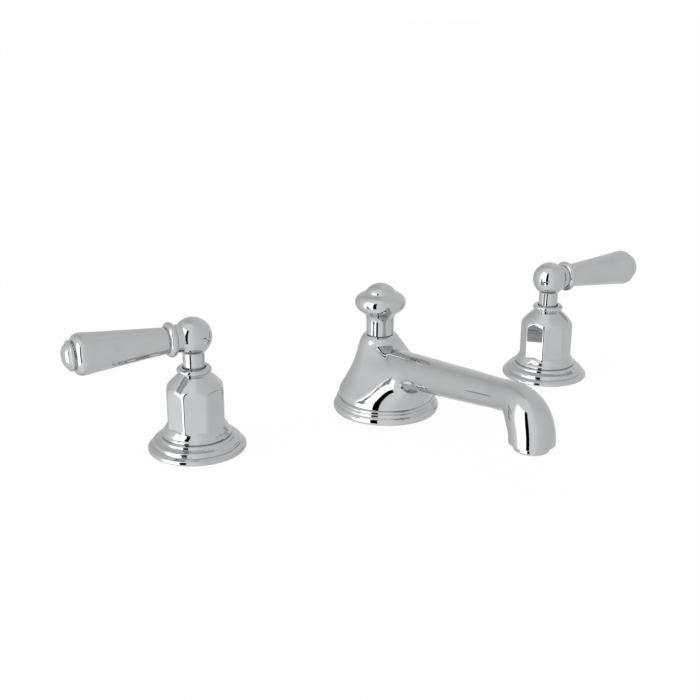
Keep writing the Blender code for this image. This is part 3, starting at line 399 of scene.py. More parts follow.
def washer(name, material, slot, node_name, centre, bore):
    """Flat ring with slightly rounded edges, in the place of its node and unseen in the chrome."""
    low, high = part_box(node_name)
    outer, edge = (high.x - low.x) / 2, min(0.0003, (high.z - low.z) / 4)
    ring = turned(name, rounded([
        (bore + edge, low.z), (outer, low.z, edge), (outer, high.z, edge), (bore, high.z, edge),
        (bore, low.z, edge), (bore + edge, low.z),
    ])[:-1], 96, True, Matrix.Translation((centre, 0, 0)))
    ring.visible_glossy = False
    install(ring, material, slot, "root", node_name)


HANDLE_X = sum(corner.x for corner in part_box("cold_flange")) / 2
SHANK, VALVE_SHANK = 0.0135, 0.0120
NUT_GAP = 0.0003
SIDES_OF = (("hot", -1), ("cold", 1))
SEAL_BORE, BASE_GASKET_BORE = 0.0145, 0.0188
STATIONS = [("spout", 0.0, SHANK)] + [
    (side, direction * HANDLE_X, VALVE_SHANK) for side, direction in SIDES_OF
]
washer("base_gasket", black_rubber, "rubber", "spout_base_gasket", 0.0, BASE_GASKET_BORE)
for side, centre, shank in STATIONS:
    bore = shank + NUT_GAP
    washer(side + "_soft_washer", black_rubber, "rubber", side + "_rubber_washer", centre, bore)
    washer(side + "_flat_washer", zinc_steel, "steel", side + "_steel_washer", centre, bore)
    if centre:
        washer(side + "_flange_seal", black_rubber, "rubber", side + "_flange_gasket", centre, SEAL_BORE)

# Locknuts
# Brass hexagons with their corners turned off on both faces, screwed up the shanks from below.
# They press the washers against the deck.
yellow_brass = machined("machined_brass", (0.68, 0.50, 0.25), (0.50, 0.35, 0.17), 0.18, 0.36)
HEX = math.pi / 3
NUT_CHAMFER, NUT_CHAMFER_SLOPE = 0.0016, math.tan(math.radians(30))
NUT_LEAD = 0.0006


def round_loft(name, rings, closed, normals=None, matrix=None):
    """Mesh through rings of as many points each; open ends are capped."""
    sides = len(rings[0])
    rows = [list(range(k * sides, (k + 1) * sides)) for k in range(len(rings))]
    faces = faces_between(rows, closed)
    if not closed:
        faces += [list(reversed(rows[0])), rows[-1]]
    return mesh_piece(name, [point for ring in rings for point in ring], faces, normals, matrix)


for side, centre, shank in STATIONS:
    low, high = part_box(side + "_locknut")
    half = (high.y - low.y) / 2
    bore = shank + NUT_GAP
    one_flat = np.linspace(-HEX / 2, HEX / 2, 24, endpoint=False)
    angles = np.concatenate([k * HEX + one_flat for k in range(6)])
    flats = half / np.cos((angles % HEX) - HEX / 2)
    levels = []
    for start, end in ((low.z, low.z + NUT_CHAMFER), (high.z - NUT_CHAMFER, high.z)):
        for height in np.linspace(start, end, 9):
            turned_off = half + min(height - low.z, high.z - height) / NUT_CHAMFER_SLOPE
            levels.append((np.minimum(flats, turned_off), height))
    wide = bore + NUT_LEAD
    for radius, height in (
        (wide, high.z), (bore, high.z - NUT_LEAD), (bore, low.z + NUT_LEAD), (wide, low.z),
    ):
        levels.append((np.full(len(angles), radius), height))
    nut = round_loft(side + "_clamp_nut", [
        [(centre + r * math.cos(a), r * math.sin(a), height) for r, a in zip(radii, angles)]
        for radii, height in levels
    ], True)
    crisp(nut, 25)
    nut.visible_glossy = False
    install(nut, yellow_brass, "brass", "root", side + "_locknut")

# Spout shank
# A threaded brass bar through the deck, soldered into the casting, with a water bore fed from
# two side ports and a second passage for the lift rod.
UP, ACROSS, BACK = Vector((0, 0, 1)), Vector((1, 0, 0)), Vector((0, 1, 0))


def ring_at(centre, direction, radius, sides):
    """Points of a circle, from its +X side or, for one that faces along X, from +Y."""
    side = ACROSS if abs(direction.x) < 0.9 else BACK
    up = direction.cross(side)
    return [
        centre + side * radius * math.cos(k * 2 * math.pi / sides)
        + up * radius * math.sin(k * 2 * math.pi / sides) for k in range(sides)
    ]


def bar(start, direction, length, radius, sides=48):
    """Round bar that cuts or joins another piece."""
    return round_loft("bar", [
        ring_at(start + direction * place, direction, radius, sides) for place in (0, length)
    ], False)


def cut(piece, tool, operation="DIFFERENCE"):
    """Boolean, applied, after which the tool is gone."""
    modifier = piece.modifiers.new("cut", "BOOLEAN")
    modifier.operation = operation
    modifier.object = tool
    bpy.context.view_layer.update()
    evaluated = piece.evaluated_get(bpy.context.evaluated_depsgraph_get())
    mesh = bpy.data.meshes.new_from_object(evaluated)
    piece.modifiers.clear()
    piece.data = mesh
    bpy.data.objects.remove(tool)


def screw_skin(radius, low, high, pitch):
    """Profile points close enough for a thread."""
    return [(radius, z) for z in np.arange(low, high, pitch / 8)]


SPARE, ALL_THROUGH = 0.001, 0.09
PORT, PORT_BORE = 0.0065, 0.0040
PITCH, THREAD_DEPTH = 0.0015, 0.0008
WATER_BORE, WATER_BACK = 0.0050, -0.0055
ROD_HOLE, SETBACK = 0.0028, 0.0072
shank_low, shank_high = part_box("spout_shank")
PORT_HEIGHT = -0.0530
THREAD_LOW, THREAD_HIGH = -0.0450, -0.0010
shank = turned("spout_tail", [(0.0, shank_low.z)] + rounded([
    (0.001, shank_low.z), (SHANK, shank_low.z, 0.0008), (SHANK, THREAD_LOW),
]) + screw_skin(SHANK, THREAD_LOW, THREAD_HIGH, PITCH) + rounded([
    (SHANK, THREAD_HIGH), (SHANK, shank_high.z, 0.0006), (0.001, shank_high.z),
]) + [(0.0, shank_high.z)], 96, threads=[(THREAD_LOW, THREAD_HIGH, PITCH, THREAD_DEPTH)])
reach = shank_high.x
at_port = Vector((0, WATER_BACK, PORT_HEIGHT))
cut(shank, bar(at_port - ACROSS * reach, ACROSS, 2 * reach, PORT), "UNION")
cut(shank, bar(at_port - ACROSS * (reach + SPARE), ACROSS, 2 * (reach + SPARE), PORT_BORE))
cut(shank, bar(Vector((0, WATER_BACK, shank_low.z + PORT_BORE)), UP, ALL_THROUGH, WATER_BORE))
cut(shank, bar(Vector((0, SETBACK, shank_low.z - SPARE)), UP, ALL_THROUGH, ROD_HOLE))
crisp(shank)
shank.visible_glossy = False
install(shank, yellow_brass, "brass", "root", "spout_shank")

# Handle flanges
# Turned brass mouldings that stand on the deck round each valve: a broad bead, a second one
# behind a groove, a short slope and a small bead that the bonnet stands on.
flange_low, flange_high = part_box("hot_flange")
FLANGE = (flange_high.x - flange_low.x) / 2
FLANGE_TOP = flange_high.z
FLANGE_BORE = 0.0125
FLANGE_RECESS_INNER, FLANGE_RECESS_OUTER = 0.0146, 0.0222


def on_handle(direction, height=0.0, lying=False):
    """Placing of a handle's piece; one that lies points away from the handle's upright axis."""
    matrix = Matrix.Translation((direction * HANDLE_X, 0, height))
    if lying:
        matrix = matrix @ Matrix.Rotation(direction * math.pi / 2, 4, "Y")
    return matrix


flange_outline = rounded([
    (FLANGE_BORE, 0.0, 0.0003), (FLANGE_RECESS_INNER, 0.0, 0.0002), (FLANGE_RECESS_INNER, RECESS, 0.0002),
    (FLANGE_RECESS_OUTER, RECESS, 0.0002), (FLANGE_RECESS_OUTER, 0.0, 0.0002),
    (FLANGE - 0.0005, 0.0, 0.0004), (FLANGE, 0.0005, 0.0008), (FLANGE, 0.0020, 0.0013),
    (0.0234, 0.0031, 0.0003), (0.0227, 0.0033, 0.0002), (0.0228, 0.0052, 0.0012),
    (0.0207, 0.0060, 0.0005), (0.0197, 0.0065, 0.0002), (0.0197, 0.0078, 0.0007),
    (0.0185, FLANGE_TOP, 0.0003), (FLANGE_BORE, FLANGE_TOP, 0.0003), (FLANGE_BORE, 0.0),
])[:-1]
for side, direction in SIDES_OF:
    place = on_handle(direction)
    plated(side + "_flange_moulding", flange_outline, 144, True, place, "root", side + "_flange")

# Bonnets
# Eight-sided brass shells, turned, milled to flats and polished. They hide the valve's shank
# and cartridge, and the collar above screws them down on the flange.
BONNET_FOOT = FLANGE_TOP + 0.00005
DOME_TOP = 0.0411
FLATS = 0.0144
ARRIS = 0.0026
BONNET_MOUTH, BONNET_BORE, BONNET_ROOF = 0.0071, 0.01265, 0.0327
DOME_BLEND, FOOT_BLEND = 0.0010, 0.0006
FLATS_LOW, FLATS_HIGH = 0.0155, 0.0290
ARRIS_TURN, FLAT_FROM = 0.085, 0.11
dome = np.array(flowing([
    (0.0185, 0.0270), (0.01665, 0.0302), (0.01545, 0.0325), (0.0146, 0.0340), (0.01335, 0.0355),
    (0.0119, 0.0371), (0.0107, 0.0382), (0.0095, 0.0393), (0.0086, 0.0401), (0.0080, 0.0406),
    (0.0076, DOME_TOP),
], 90))
foot = np.array(rounded([
    (0.0176, BONNET_FOOT), (0.01795, BONNET_FOOT, 0.00015), (0.0180, 0.0090, 0.0005),
    (0.0175, 0.0096, 0.0003), (0.01718, 0.0099, 0.0002),
]) + flowing([
    (0.01712, 0.0100), (0.01685, 0.0108), (0.0163, 0.0117), (0.0158, 0.0124), (0.0154, 0.0129),
    (0.0149, 0.0133), (0.0143, 0.0136), (0.0136, 0.0138),
], 60) + [(0.0050, 0.0139)])


def bonnet_radius(angles, heights):
    """Distance of the bonnet's skin from its axis: flats, cut into by the dome and the foot."""
    corner = math.pi / 4
    turn = np.abs((angles % corner) - corner / 2)
    hub = (FLATS - ARRIS) / math.cos(corner / 2)
    flat = FLATS / np.cos(corner / 2 - turn)
    arc = hub * np.cos(turn) + np.sqrt(np.maximum(0, ARRIS ** 2 - (hub * np.sin(turn)) ** 2))
    reach = math.atan2(ARRIS * math.sin(corner / 2), hub + ARRIS * math.cos(corner / 2))
    shaft = np.where(turn < reach, arc, flat)
    over = np.interp(heights, dome[:, 1], dome[:, 0])
    under = np.interp(heights, foot[:, 1], foot[:, 0])
    near = np.maximum(0, DOME_BLEND - np.abs(shaft - over)) / DOME_BLEND
    skin = np.minimum(shaft, over) - near ** 2 * DOME_BLEND / 4
    near = np.maximum(0, FOOT_BLEND - np.abs(skin - under)) / FOOT_BLEND
    return np.maximum(skin, under) + near ** 2 * FOOT_BLEND / 4


# The points lie close together on the arrises, and where the dome and the foot cut into the flats.
steps = np.concatenate([
    np.linspace(-ARRIS_TURN, ARRIS_TURN, 17), np.linspace(FLAT_FROM, math.pi / 4 - FLAT_FROM, 14),
])
angles = np.concatenate([facet * math.pi / 4 + steps for facet in range(8)])
heights = np.concatenate([
    np.linspace(BONNET_FOOT, FLATS_LOW - 0.0007, 76), np.linspace(FLATS_LOW, FLATS_HIGH, 9),
    np.linspace(FLATS_HIGH + 0.0005, DOME_TOP, 58),
])
where, level = np.meshgrid(angles, heights)
probe = 0.00002
shifted = where + math.pi / 8
radius = bonnet_radius(shifted, level)
along = (bonnet_radius(shifted, level + probe) - bonnet_radius(shifted, level - probe)) / (2 * probe)
across = (bonnet_radius(shifted + probe, level) - bonnet_radius(shifted - probe, level)) / (2 * probe)
across = across / radius
cos, sin = np.cos(where), np.sin(where)
rings = list(np.stack([radius * cos, radius * sin, level], axis=2))
normals = np.stack([cos + across * sin, sin - across * cos, -along], axis=2)
normals = list(normals / np.linalg.norm(normals, axis=2, keepdims=True))
inside = [
    (BONNET_MOUTH, DOME_TOP - 0.0001, 0, 1), (BONNET_MOUTH, DOME_TOP - 0.0002, -1, 0),
    (BONNET_MOUTH, DOME_TOP - 0.0015, -1, 0), (BONNET_BORE, BONNET_ROOF, -1, 0),
    (BONNET_BORE, BONNET_FOOT, -1, 0),
]
for r, height, out, up in inside:
    rings.append([(r * math.cos(t), r * math.sin(t), height) for t in angles])
    normals.append([(out * math.cos(t), out * math.sin(t), up) for t in angles])
normals = np.concatenate(normals)
for side, direction in SIDES_OF:
    bonnet = round_loft(side + "_bonnet_shell", rings, True, normals, on_handle(direction))
    install(bonnet, turned_chrome, "chrome", "root", side + "_bonnet")

# Spout casting
# One hollow brass casting, ground, polished and plated: a flared bell that leans back, an arm
# that rises towards the user, and a nose that turns down. The two forms meet in a soft hollow.
CASTING_FOOT = RING_TOP + 0.00005
BELL_TOP = 0.0416
SOCKET = SHANK + 0.0003
SOCKET_TOP = 0.0175
BELL_POINTS = (
    (0.0264, 0.0068), (0.0264, 0.0080), (0.02638, 0.0092), (0.02622, 0.0106), (0.02505, 0.0129),
    (0.02270, 0.0162), (0.02015, 0.0199), (0.01718, 0.0248), (0.01478, 0.0297), (0.01330, 0.0337),
    (0.01201, 0.0371), (0.01085, 0.0393), (0.0099, 0.0407), (0.0090, BELL_TOP), (0.0078, 0.0423),
    (0.0062, 0.0428),
)
bell_outline = np.array(flowing(BELL_POINTS, 3000))
NOSE_TIP = 0.0268
REACH = 0.12846
AXIS_HEIGHT = 0.02514
SLOPE = 0.1661
ROOT_RADIUS, TIP_RADIUS, NOSE_RADIUS = 0.01055, 0.00745, 0.01105
BEND = 0.01603
MOUTH = 0.00755
MOUTH_DEPTH = 0.0070
ARM_CLEAR, RING_STEP = 0.046, 0.0008
FAN_FROM, FAN_STEP, FAN_END = 0.0178, 0.03, math.pi - 0.02
NEAREST_SKIN, FARTHEST_SKIN = 0.006, 0.056
HOLLOW, HOLLOW_ABOVE, HOLLOW_SHIFT = 0.0125, 0.0035, 0.75
DRAWN_FROM, DRAWN_RATE, DRAWN_LIMIT, DRAWN_TAPER = 0.0100, 1.3, 0.025, 0.25
DRAWN_TOP, DRAWN_END = 0.0288, 0.0388
DRAWN_START_SOFT, DRAWN_LIMIT_SOFT = 0.002, 0.003
forward = Vector((0, -1, SLOPE)).normalized()
down = -UP
bend_turn = forward.angle(down)
bend_length = BEND * bend_turn
axes_meet = Vector((0, -REACH, AXIS_HEIGHT + REACH * SLOPE))
bend_start = axes_meet - forward * (BEND * math.tan(bend_turn / 2))
bend_centre = bend_start + (down - forward * down.dot(forward)).normalized() * BEND
arm_root = Vector((0, 0, AXIS_HEIGHT))
arm_length = (bend_start - arm_root).length
root_place, arm_line = np.array(arm_root), np.array(forward)


def bell_reach(point):
    """Distance of points outside the bell, measured along the level.

    Each level section is a circle at the foot and higher up a drop, drawn out towards the arm.
    """
    height = point[:, 2]
    lean = SETBACK * np.clip((height - CASTING_FOOT) / (BELL_TOP - CASTING_FOOT), 0, 1.1)
    radius = np.interp(height, bell_outline[:, 1], bell_outline[:, 0])
    aside, ahead = np.abs(point[:, 0]), lean - point[:, 1]
    rise = DRAWN_RATE * (height - DRAWN_FROM)
    drawn = (rise + np.sqrt(rise ** 2 + DRAWN_START_SOFT ** 2)) / 2
    limit = math.exp(-DRAWN_LIMIT / DRAWN_LIMIT_SOFT)
    drawn = -DRAWN_LIMIT_SOFT * np.log(np.exp(-drawn / DRAWN_LIMIT_SOFT) + limit)
    fade = np.clip((DRAWN_END - height) / (DRAWN_END - DRAWN_TOP), 0, 1)
    drawn = np.maximum(drawn * fade ** 2 * (3 - 2 * fade), TINY)
    flank = math.sqrt(1 - DRAWN_TAPER ** 2)
    place = flank * ahead - DRAWN_TAPER * aside
    level = np.where(
        place < 0, np.hypot(aside, ahead) - radius,
        np.where(place > flank * drawn, np.hypot(aside, ahead - drawn) - radius + DRAWN_TAPER * drawn,
                 flank * aside + DRAWN_TAPER * ahead - radius),
    )
    return np.maximum(level, np.maximum(height - BELL_POINTS[-1][1], BELL_POINTS[0][1] - height))


def arm_reach(point):
    """Distance of points outside the arm's straight part, and how far round to its top they lie."""
    offset = point - root_place
    along = np.clip(offset @ arm_line, 0, arm_length)
    aside = offset - along[:, None] * arm_line
    across = np.linalg.norm(aside, axis=1)
    upward = aside @ np.array((0, forward.z, -forward.y)) / np.maximum(across, GUARD)
    return across - (ROOT_RADIUS + (TIP_RADIUS - ROOT_RADIUS) * along / arm_length), upward


def casting_reach(point):
    """Distance of points outside the casting, with the hollow where the two forms meet."""
    bell = bell_reach(point)
    arm, upward = arm_reach(point)
    below = np.clip(1 - upward / HOLLOW_SHIFT, 0, 1)
    hollow = HOLLOW_ABOVE + (HOLLOW - HOLLOW_ABOVE) * below ** 2 * (3 - 2 * below)
    near = np.maximum(0, 1 - np.abs(bell - arm) / hollow)
    return np.minimum(bell, arm) - near ** 3 * hollow / 6


def turn_normals(piece, own, sharp=40, agree=0.8):
    """Smooth the piece with sharp edges, then give it its true normals where they are known."""
    mesh = piece.data
    crisp(piece, sharp)
    points = np.zeros(len(mesh.vertices) * 3)
    mesh.vertices.foreach_get("co", points)
    known, true = own(points.reshape(-1, 3))
    corners = np.zeros(len(mesh.loops), int)
    mesh.loops.foreach_get("vertex_index", corners)
    normals = np.zeros(len(mesh.loops) * 3)
    mesh.corner_normals.foreach_get("vector", normals)
    normals = normals.reshape(-1, 3)
    take = known[corners] & ((normals * true[corners]).sum(axis=1) > agree)
    normals[take] = true[corners][take]
    mesh.normals_split_custom_set(normals.tolist())


def nose_stations():
    """Rings of the arm from its straight part round the bend to the mouth of the nose."""
    straight = ((0, 0), (0.25, 0), (0.5, 0), (0.8, 0), (0.95, 0.00005))
    bent = ((0.25, 0.00875), (0.5, 0.0104), (0.75, 0.0109), (1, NOSE_RADIUS), (1.2, NOSE_RADIUS))
    places, widths = zip(*flowing([
        (share * arm_length, ROOT_RADIUS + (TIP_RADIUS - ROOT_RADIUS) * share + swell)
        for share, swell in straight
    ] + [(arm_length + bend_length * share, radius) for share, radius in bent], 400))
    stations = []
    for along in np.arange(ARM_CLEAR, arm_length + bend_length, RING_STEP):
        radius = float(np.interp(along, places, widths))
        if along < arm_length:
            stations.append((arm_root + forward * along, forward, radius))
        else:
            turn = Matrix.Rotation((along - arm_length) / BEND, 3, forward.cross(down))
            stations.append((bend_centre + turn @ (bend_start - bend_centre), turn @ forward, radius))
    for radius, height in rounded([
        (NOSE_RADIUS, NOSE_TIP + 0.0007), (NOSE_RADIUS, NOSE_TIP, 0.0009),
        (MOUTH + 0.0003, NOSE_TIP, 0.0002), (MOUTH, NOSE_TIP + 0.0003, 0.0002),
        (MOUTH, NOSE_TIP + MOUTH_DEPTH), (0.0010, NOSE_TIP + MOUTH_DEPTH + 0.0001),
    ]):
        stations.append((Vector((0, -REACH, height)), down, radius))
    return stations


def make_casting():
    """Skin round the arm's axis: rings along the arm, then rays fanned out from its root."""
    sides = 176
    rings = [ring_at(*station, sides) for station in reversed(nose_stations())]
    near = np.arange(ARM_CLEAR - RING_STEP, FAN_FROM, -RING_STEP)
    angles = list(np.arctan2(ROOT_RADIUS - (ROOT_RADIUS - TIP_RADIUS) * near / arm_length, near))
    angles += list(np.arange(angles[-1] + FAN_STEP, FAN_END, FAN_STEP))
    spokes = np.array([p - arm_root for p in ring_at(arm_root, forward, 1.0, sides)])
    for angle in angles:
        rays = arm_line * math.cos(angle) + spokes * math.sin(angle)
        reach = np.linspace(NEAREST_SKIN, FARTHEST_SKIN, 120)
        outside = np.array([casting_reach(root_place + rays * r) > 0 for r in reach])
        first = outside.argmax(axis=0)
        low, high = reach[first - 1], reach[first]
        for _ in range(30):
            middle = (low + high) / 2
            out = casting_reach(root_place + rays * middle[:, None]) > 0
            low, high = np.where(out, low, middle), np.where(out, middle, high)
        rings.append([tuple(p) for p in root_place + rays * high[:, None]])
    casting = round_loft("spout_casting", rings, False)
    wide, front = 0.06, -0.05
    base = ((-wide, front), (wide, front), (wide, wide), (-wide, wide))
    for low, high in ((BELL_TOP, 0.05), (0.0, CASTING_FOOT)):
        cut(casting, round_loft("trim", [[(x, y, z) for x, y in base] for z in (low, high)], False))
    cut(casting, bar(Vector(), UP, SOCKET_TOP, SOCKET, 96))
    cut(casting, bar(Vector((0, SETBACK, 0)), UP, BELL_TOP + SPARE, ROD_HOLE))
    return casting


def casting_normals(points, probe=0.00005, on_skin=0.00002, inner_part=0.6):
    """Which points lie on the bell and the arm's inner part, and the skin's normals there."""
    slope = np.stack([
        casting_reach(points + shift) - casting_reach(points - shift) for shift in np.eye(3) * probe
    ], axis=1)
    slope /= np.maximum(np.linalg.norm(slope, axis=1, keepdims=True), GUARD)
    along = (points - root_place) @ arm_line
    return (np.abs(casting_reach(points)) < on_skin) & (along < inner_part * arm_length), slope


casting = make_casting()
turn_normals(casting, casting_normals)
install(casting, casting_chrome, "chrome", "root", "spout_body")

# Aerator
# A plated brass ring screwed into the nose, with a moulded insert that mixes air into the water.
aerator_low, aerator_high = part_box("aerator_ring")
AERATOR = (aerator_high.x - aerator_low.x) / 2
AERATOR_LIP = AERATOR + 0.00035
lip = rounded([
    (AERATOR - 0.0015, aerator_low.z, 0.0003), (AERATOR, aerator_low.z, 0.0005),
    (AERATOR_LIP, aerator_low.z + 0.0009, 0.0005), (AERATOR_LIP, NOSE_TIP - 0.0001, 0.0002),
    (AERATOR - 0.0002, NOSE_TIP - 0.0001, 0.0001),
    (AERATOR - 0.0003, aerator_high.z, 0.0002), (AERATOR - 0.0013, aerator_high.z, 0.0002),
    (AERATOR - 0.0013, aerator_low.z + 0.0005, 0.0002), (AERATOR - 0.0015, aerator_low.z),
])[:-1]
plated("aerator_shell", lip, 128, True, Matrix.Translation((0, -REACH, 0)), "root", "aerator_ring")
grey_plastic = moulded("grey_moulded_plastic", (0.30, 0.31, 0.32), (0.42, 0.42, 0.41), 0.38, 0.55, 0.00001)
coat(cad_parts["aerator_insert"], grey_plastic)

# Lift knob and rod
# A turned knob with a button on top, screwed to the rod that works the drain stopper. The rod
# slides through the casting and the shank.
knob_low, knob_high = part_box("lift_knob")
rod_low, rod_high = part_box("lift_rod")
ROD = (rod_high.x - rod_low.x) / 2
ROD_TIP = 0.0008
KNOB = 0.01415
KNOB_BARREL = 0.0077
KNOB_BORE_TOP = rod_high.z + 0.0003
knob_outline = [(0.0, KNOB_BORE_TOP)] + rounded([
    (0.0010, KNOB_BORE_TOP), (ROD_HOLE, KNOB_BORE_TOP, 0.0002), (ROD_HOLE, knob_low.z, 0.0002),
    (KNOB_BARREL, knob_low.z, 0.0002), (KNOB_BARREL, 0.0484),
]) + flowing([
    (KNOB_BARREL, 0.0486), (0.0079, 0.0510), (0.0084, 0.0525), (0.0095, 0.0540), (0.0115, 0.0555),
    (0.0131, 0.0570), (0.01385, 0.0585), (KNOB, 0.0603), (0.0137, 0.0620), (0.0126, 0.0635),
    (0.0111, 0.0646), (0.0098, 0.0652), (0.0089, 0.06545), (0.00845, 0.0658), (0.0082, 0.0662),
    (0.0079, 0.0667), (0.0066, 0.0682), (0.0049, 0.0694), (0.0026, 0.0704), (0.0, knob_high.z),
], 190)
rod_axis = Matrix.Translation((0, SETBACK, 0))
plated("lift_knob_turning", knob_outline, 160, False, rod_axis, "lift", "lift_knob")
rod = turned("lift_rod_bar", [(0.0, rod_low.z)] + rounded([
    (0.0005, rod_low.z), (ROD - ROD_TIP, rod_low.z, 0.0002), (ROD, rod_low.z + ROD_TIP, 0.0002),
    (ROD, rod_high.z, 0.0003), (0.0005, rod_high.z),
]) + [(0.0, rod_high.z)], 64, False, rod_axis)
rod.visible_glossy = False
install(rod, yellow_brass, "brass", "lift", "lift_rod")

# Valve bodies
# Turned brass, threaded where the locknut and the supply hose screw on, with a riser inside
# that feeds the cartridge and a side port, brazed in, towards the spout.
valve_low, valve_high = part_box("cold_valve_body")
VALVE_BORE, VALVE_FLOOR = 0.0105, -0.0560
INLET, INLET_TOP, INLET_BORE = 0.0103, -0.0620, 0.0050
RISER, RISER_TOP = 0.0068, -0.0140
SIDE_PORT_HEIGHT, SIDE_PORT_ROOT = -0.0520, 0.0108
SIDE_PORT_LENGTH = HANDLE_X - valve_low.x - SIDE_PORT_ROOT
VALVE_THREAD_LOW = -0.0440
INLET_THREAD_LOW, INLET_THREAD_HIGH = valve_low.z + 0.0015, INLET_TOP - 0.0015
valve_outline = rounded([
    (INLET_BORE + 0.0005, valve_low.z), (INLET, valve_low.z, 0.0006), (INLET, INLET_THREAD_LOW),
]) + screw_skin(INLET, INLET_THREAD_LOW, INLET_THREAD_HIGH, PITCH) + rounded([
    (INLET, INLET_THREAD_HIGH), (INLET, INLET_TOP, 0.0003), (VALVE_SHANK, INLET_TOP, 0.0006),
    (VALVE_SHANK, VALVE_THREAD_LOW),
]) + screw_skin(VALVE_SHANK, VALVE_THREAD_LOW, THREAD_HIGH, PITCH) + rounded([
    (VALVE_SHANK, THREAD_HIGH), (VALVE_SHANK, valve_high.z, 0.0004), (VALVE_BORE, valve_high.z, 0.0003),
    (VALVE_BORE, VALVE_FLOOR), (RISER, VALVE_FLOOR), (RISER, RISER_TOP, 0.0003),
    (INLET_BORE, RISER_TOP, 0.0003), (INLET_BORE, valve_low.z, 0.0003), (INLET_BORE + 0.0005, valve_low.z),
])[:-1]
for side, direction in SIDES_OF:
    valve = turned(side + "_valve_turning", valve_outline, 96, True, threads=[
        (VALVE_THREAD_LOW, THREAD_HIGH, PITCH, THREAD_DEPTH),
        (INLET_THREAD_LOW, INLET_THREAD_HIGH, PITCH, THREAD_DEPTH),
    ])
    inward = ACROSS * -direction
    port_root = inward * SIDE_PORT_ROOT + UP * SIDE_PORT_HEIGHT
    cut(valve, bar(port_root, inward, SIDE_PORT_LENGTH, PORT), "UNION")
    port_start = inward * (VALVE_BORE - SPARE) + UP * SIDE_PORT_HEIGHT
    cut(valve, bar(port_start, inward, 2 * SIDE_PORT_LENGTH, PORT_BORE))
    crisp(valve)
    valve.data.transform(Matrix.Translation((direction * HANDLE_X, 0, 0)))
    valve.visible_glossy = False
    install(valve, yellow_brass, "brass", "root", side + "_valve_body")

# Cartridges
# Each valve body holds a brass cartridge with two lapped ceramic discs: the spindle turns the
# upper one over the fixed one. A rubber seal lies under them and an O-ring is on the spindle.
lapped_ceramic = moulded("lapped_ceramic", (0.86, 0.85, 0.82), (0.80, 0.79, 0.75), 0.10, 0.18, 0.000003)
soft_seal = moulded("seal_rubber", (0.020, 0.020, 0.022), (0.040, 0.039, 0.038), 0.40, 0.60, 0.00001)
for side, direction in SIDES_OF:
    for name, material in (
        ("cartridge", yellow_brass), ("spindle", yellow_brass), ("fixed_disc", lapped_ceramic),
        ("moving_disc", lapped_ceramic), ("seat_seal", soft_seal), ("o_ring", soft_seal),
    ):
        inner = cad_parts[side + "_" + name]
        coat(inner, material)
        inner.visible_glossy = False

# Bonnet collars
# Turned rings screwed on top of the bonnets, with a round bead and a recess round the neck.
collar_low, collar_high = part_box("hot_bonnet_collar")
COLLAR = (collar_high.x - collar_low.x) / 2
COLLAR_BORE, COLLAR_SLEEVE = 0.0059, 0.0068
COLLAR_STEP, COLLAR_SEAT = 0.0077, DOME_TOP + 0.00005
BEAD_CENTRE, BEAD_HEIGHT, BEAD_HALF = 0.00715, 0.0427, 0.0016
BEAD_TOP = BEAD_HEIGHT + BEAD_HALF
collar_outline = [
    (COLLAR_BORE, collar_low.z), (COLLAR_SLEEVE, collar_low.z), (COLLAR_SLEEVE, COLLAR_SEAT),
    (COLLAR_STEP, COLLAR_SEAT),
    *round_edge(BEAD_CENTRE, COLLAR, BEAD_HEIGHT, BEAD_HALF, np.radians(np.arange(-66, 105, 6))),
    (COLLAR_BORE + 0.0003, BEAD_TOP - 0.0002), (COLLAR_BORE, BEAD_TOP - 0.0005),
]
for side, direction in SIDES_OF:
    place = on_handle(direction)
    plated(side + "_collar_ring", collar_outline, 128, True, place, "root", side + "_bonnet_collar")

# Necks and balls
# The neck is a plated sleeve over the valve's spindle. The ball above it carries the lever and
# grips the spindle's splines with a set screw from behind.
neck_low, neck_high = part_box("hot_neck")
NECK = (neck_high.x - neck_low.x) / 2
BALL = 0.00987
BALL_HEIGHT = 0.0601
ball_foot = neck_high.z + 0.00005 - BALL_HEIGHT
foot_angle = math.asin(ball_foot / BALL)
BALL_BORE, BALL_BORE_TOP = 0.0043, 0.0037
SCREW_HOLE, LEVER_SOCKET, SOCKET_FLOOR = 0.0020, 0.0035, 0.0050
ball_outline = [
    (0.0, BALL_BORE_TOP), (BALL_BORE, BALL_BORE_TOP), (BALL_BORE, ball_foot),
    *round_edge(0, BALL, 0, BALL, np.linspace(foot_angle, math.pi / 2 - 0.03, 72)), (0.0, BALL),
]
BOSS_END = 0.0098
boss_outline = [(0.0, 0.0050), (0.0060, 0.0050), (0.0070, 0.0064)] + flowing([
    (0.00733, 0.0066), (0.00721, 0.0070), (0.00714, 0.0077), (0.0071, 0.0086), (0.00708, BOSS_END - 0.0002),
], 40) + [(0.0070, BOSS_END), (0.0, BOSS_END)]
BOSS_ROOT = 0.00655
SCREW, SCREW_START, SCREW_END, KEY, KEY_DEPTH = 0.0017, 0.0043, 0.0085, 0.00094, 0.0017
SCREW_THREAD = (SCREW_START + 0.0006, SCREW_END - 0.0003, 0.0007)
screw_outline = [(0.0, SCREW_START)] + rounded([
    (0.0004, SCREW_START), (SCREW - 0.0006, SCREW_START), (SCREW, SCREW_START + 0.0005),
]) + screw_skin(SCREW, *SCREW_THREAD) + [(SCREW - 0.0002, SCREW_END), (0.0, SCREW_END)]
neck_outline = rounded([
    (BALL_BORE, neck_low.z, 0.0003), (NECK, neck_low.z, 0.0003), (NECK, neck_high.z, 0.0001),
    (BALL_BORE, neck_high.z, 0.0002), (BALL_BORE, neck_low.z),
])[:-1]
black_steel = machined("blackened_steel", (0.20, 0.20, 0.21), (0.13, 0.13, 0.14), 0.32, 0.50)
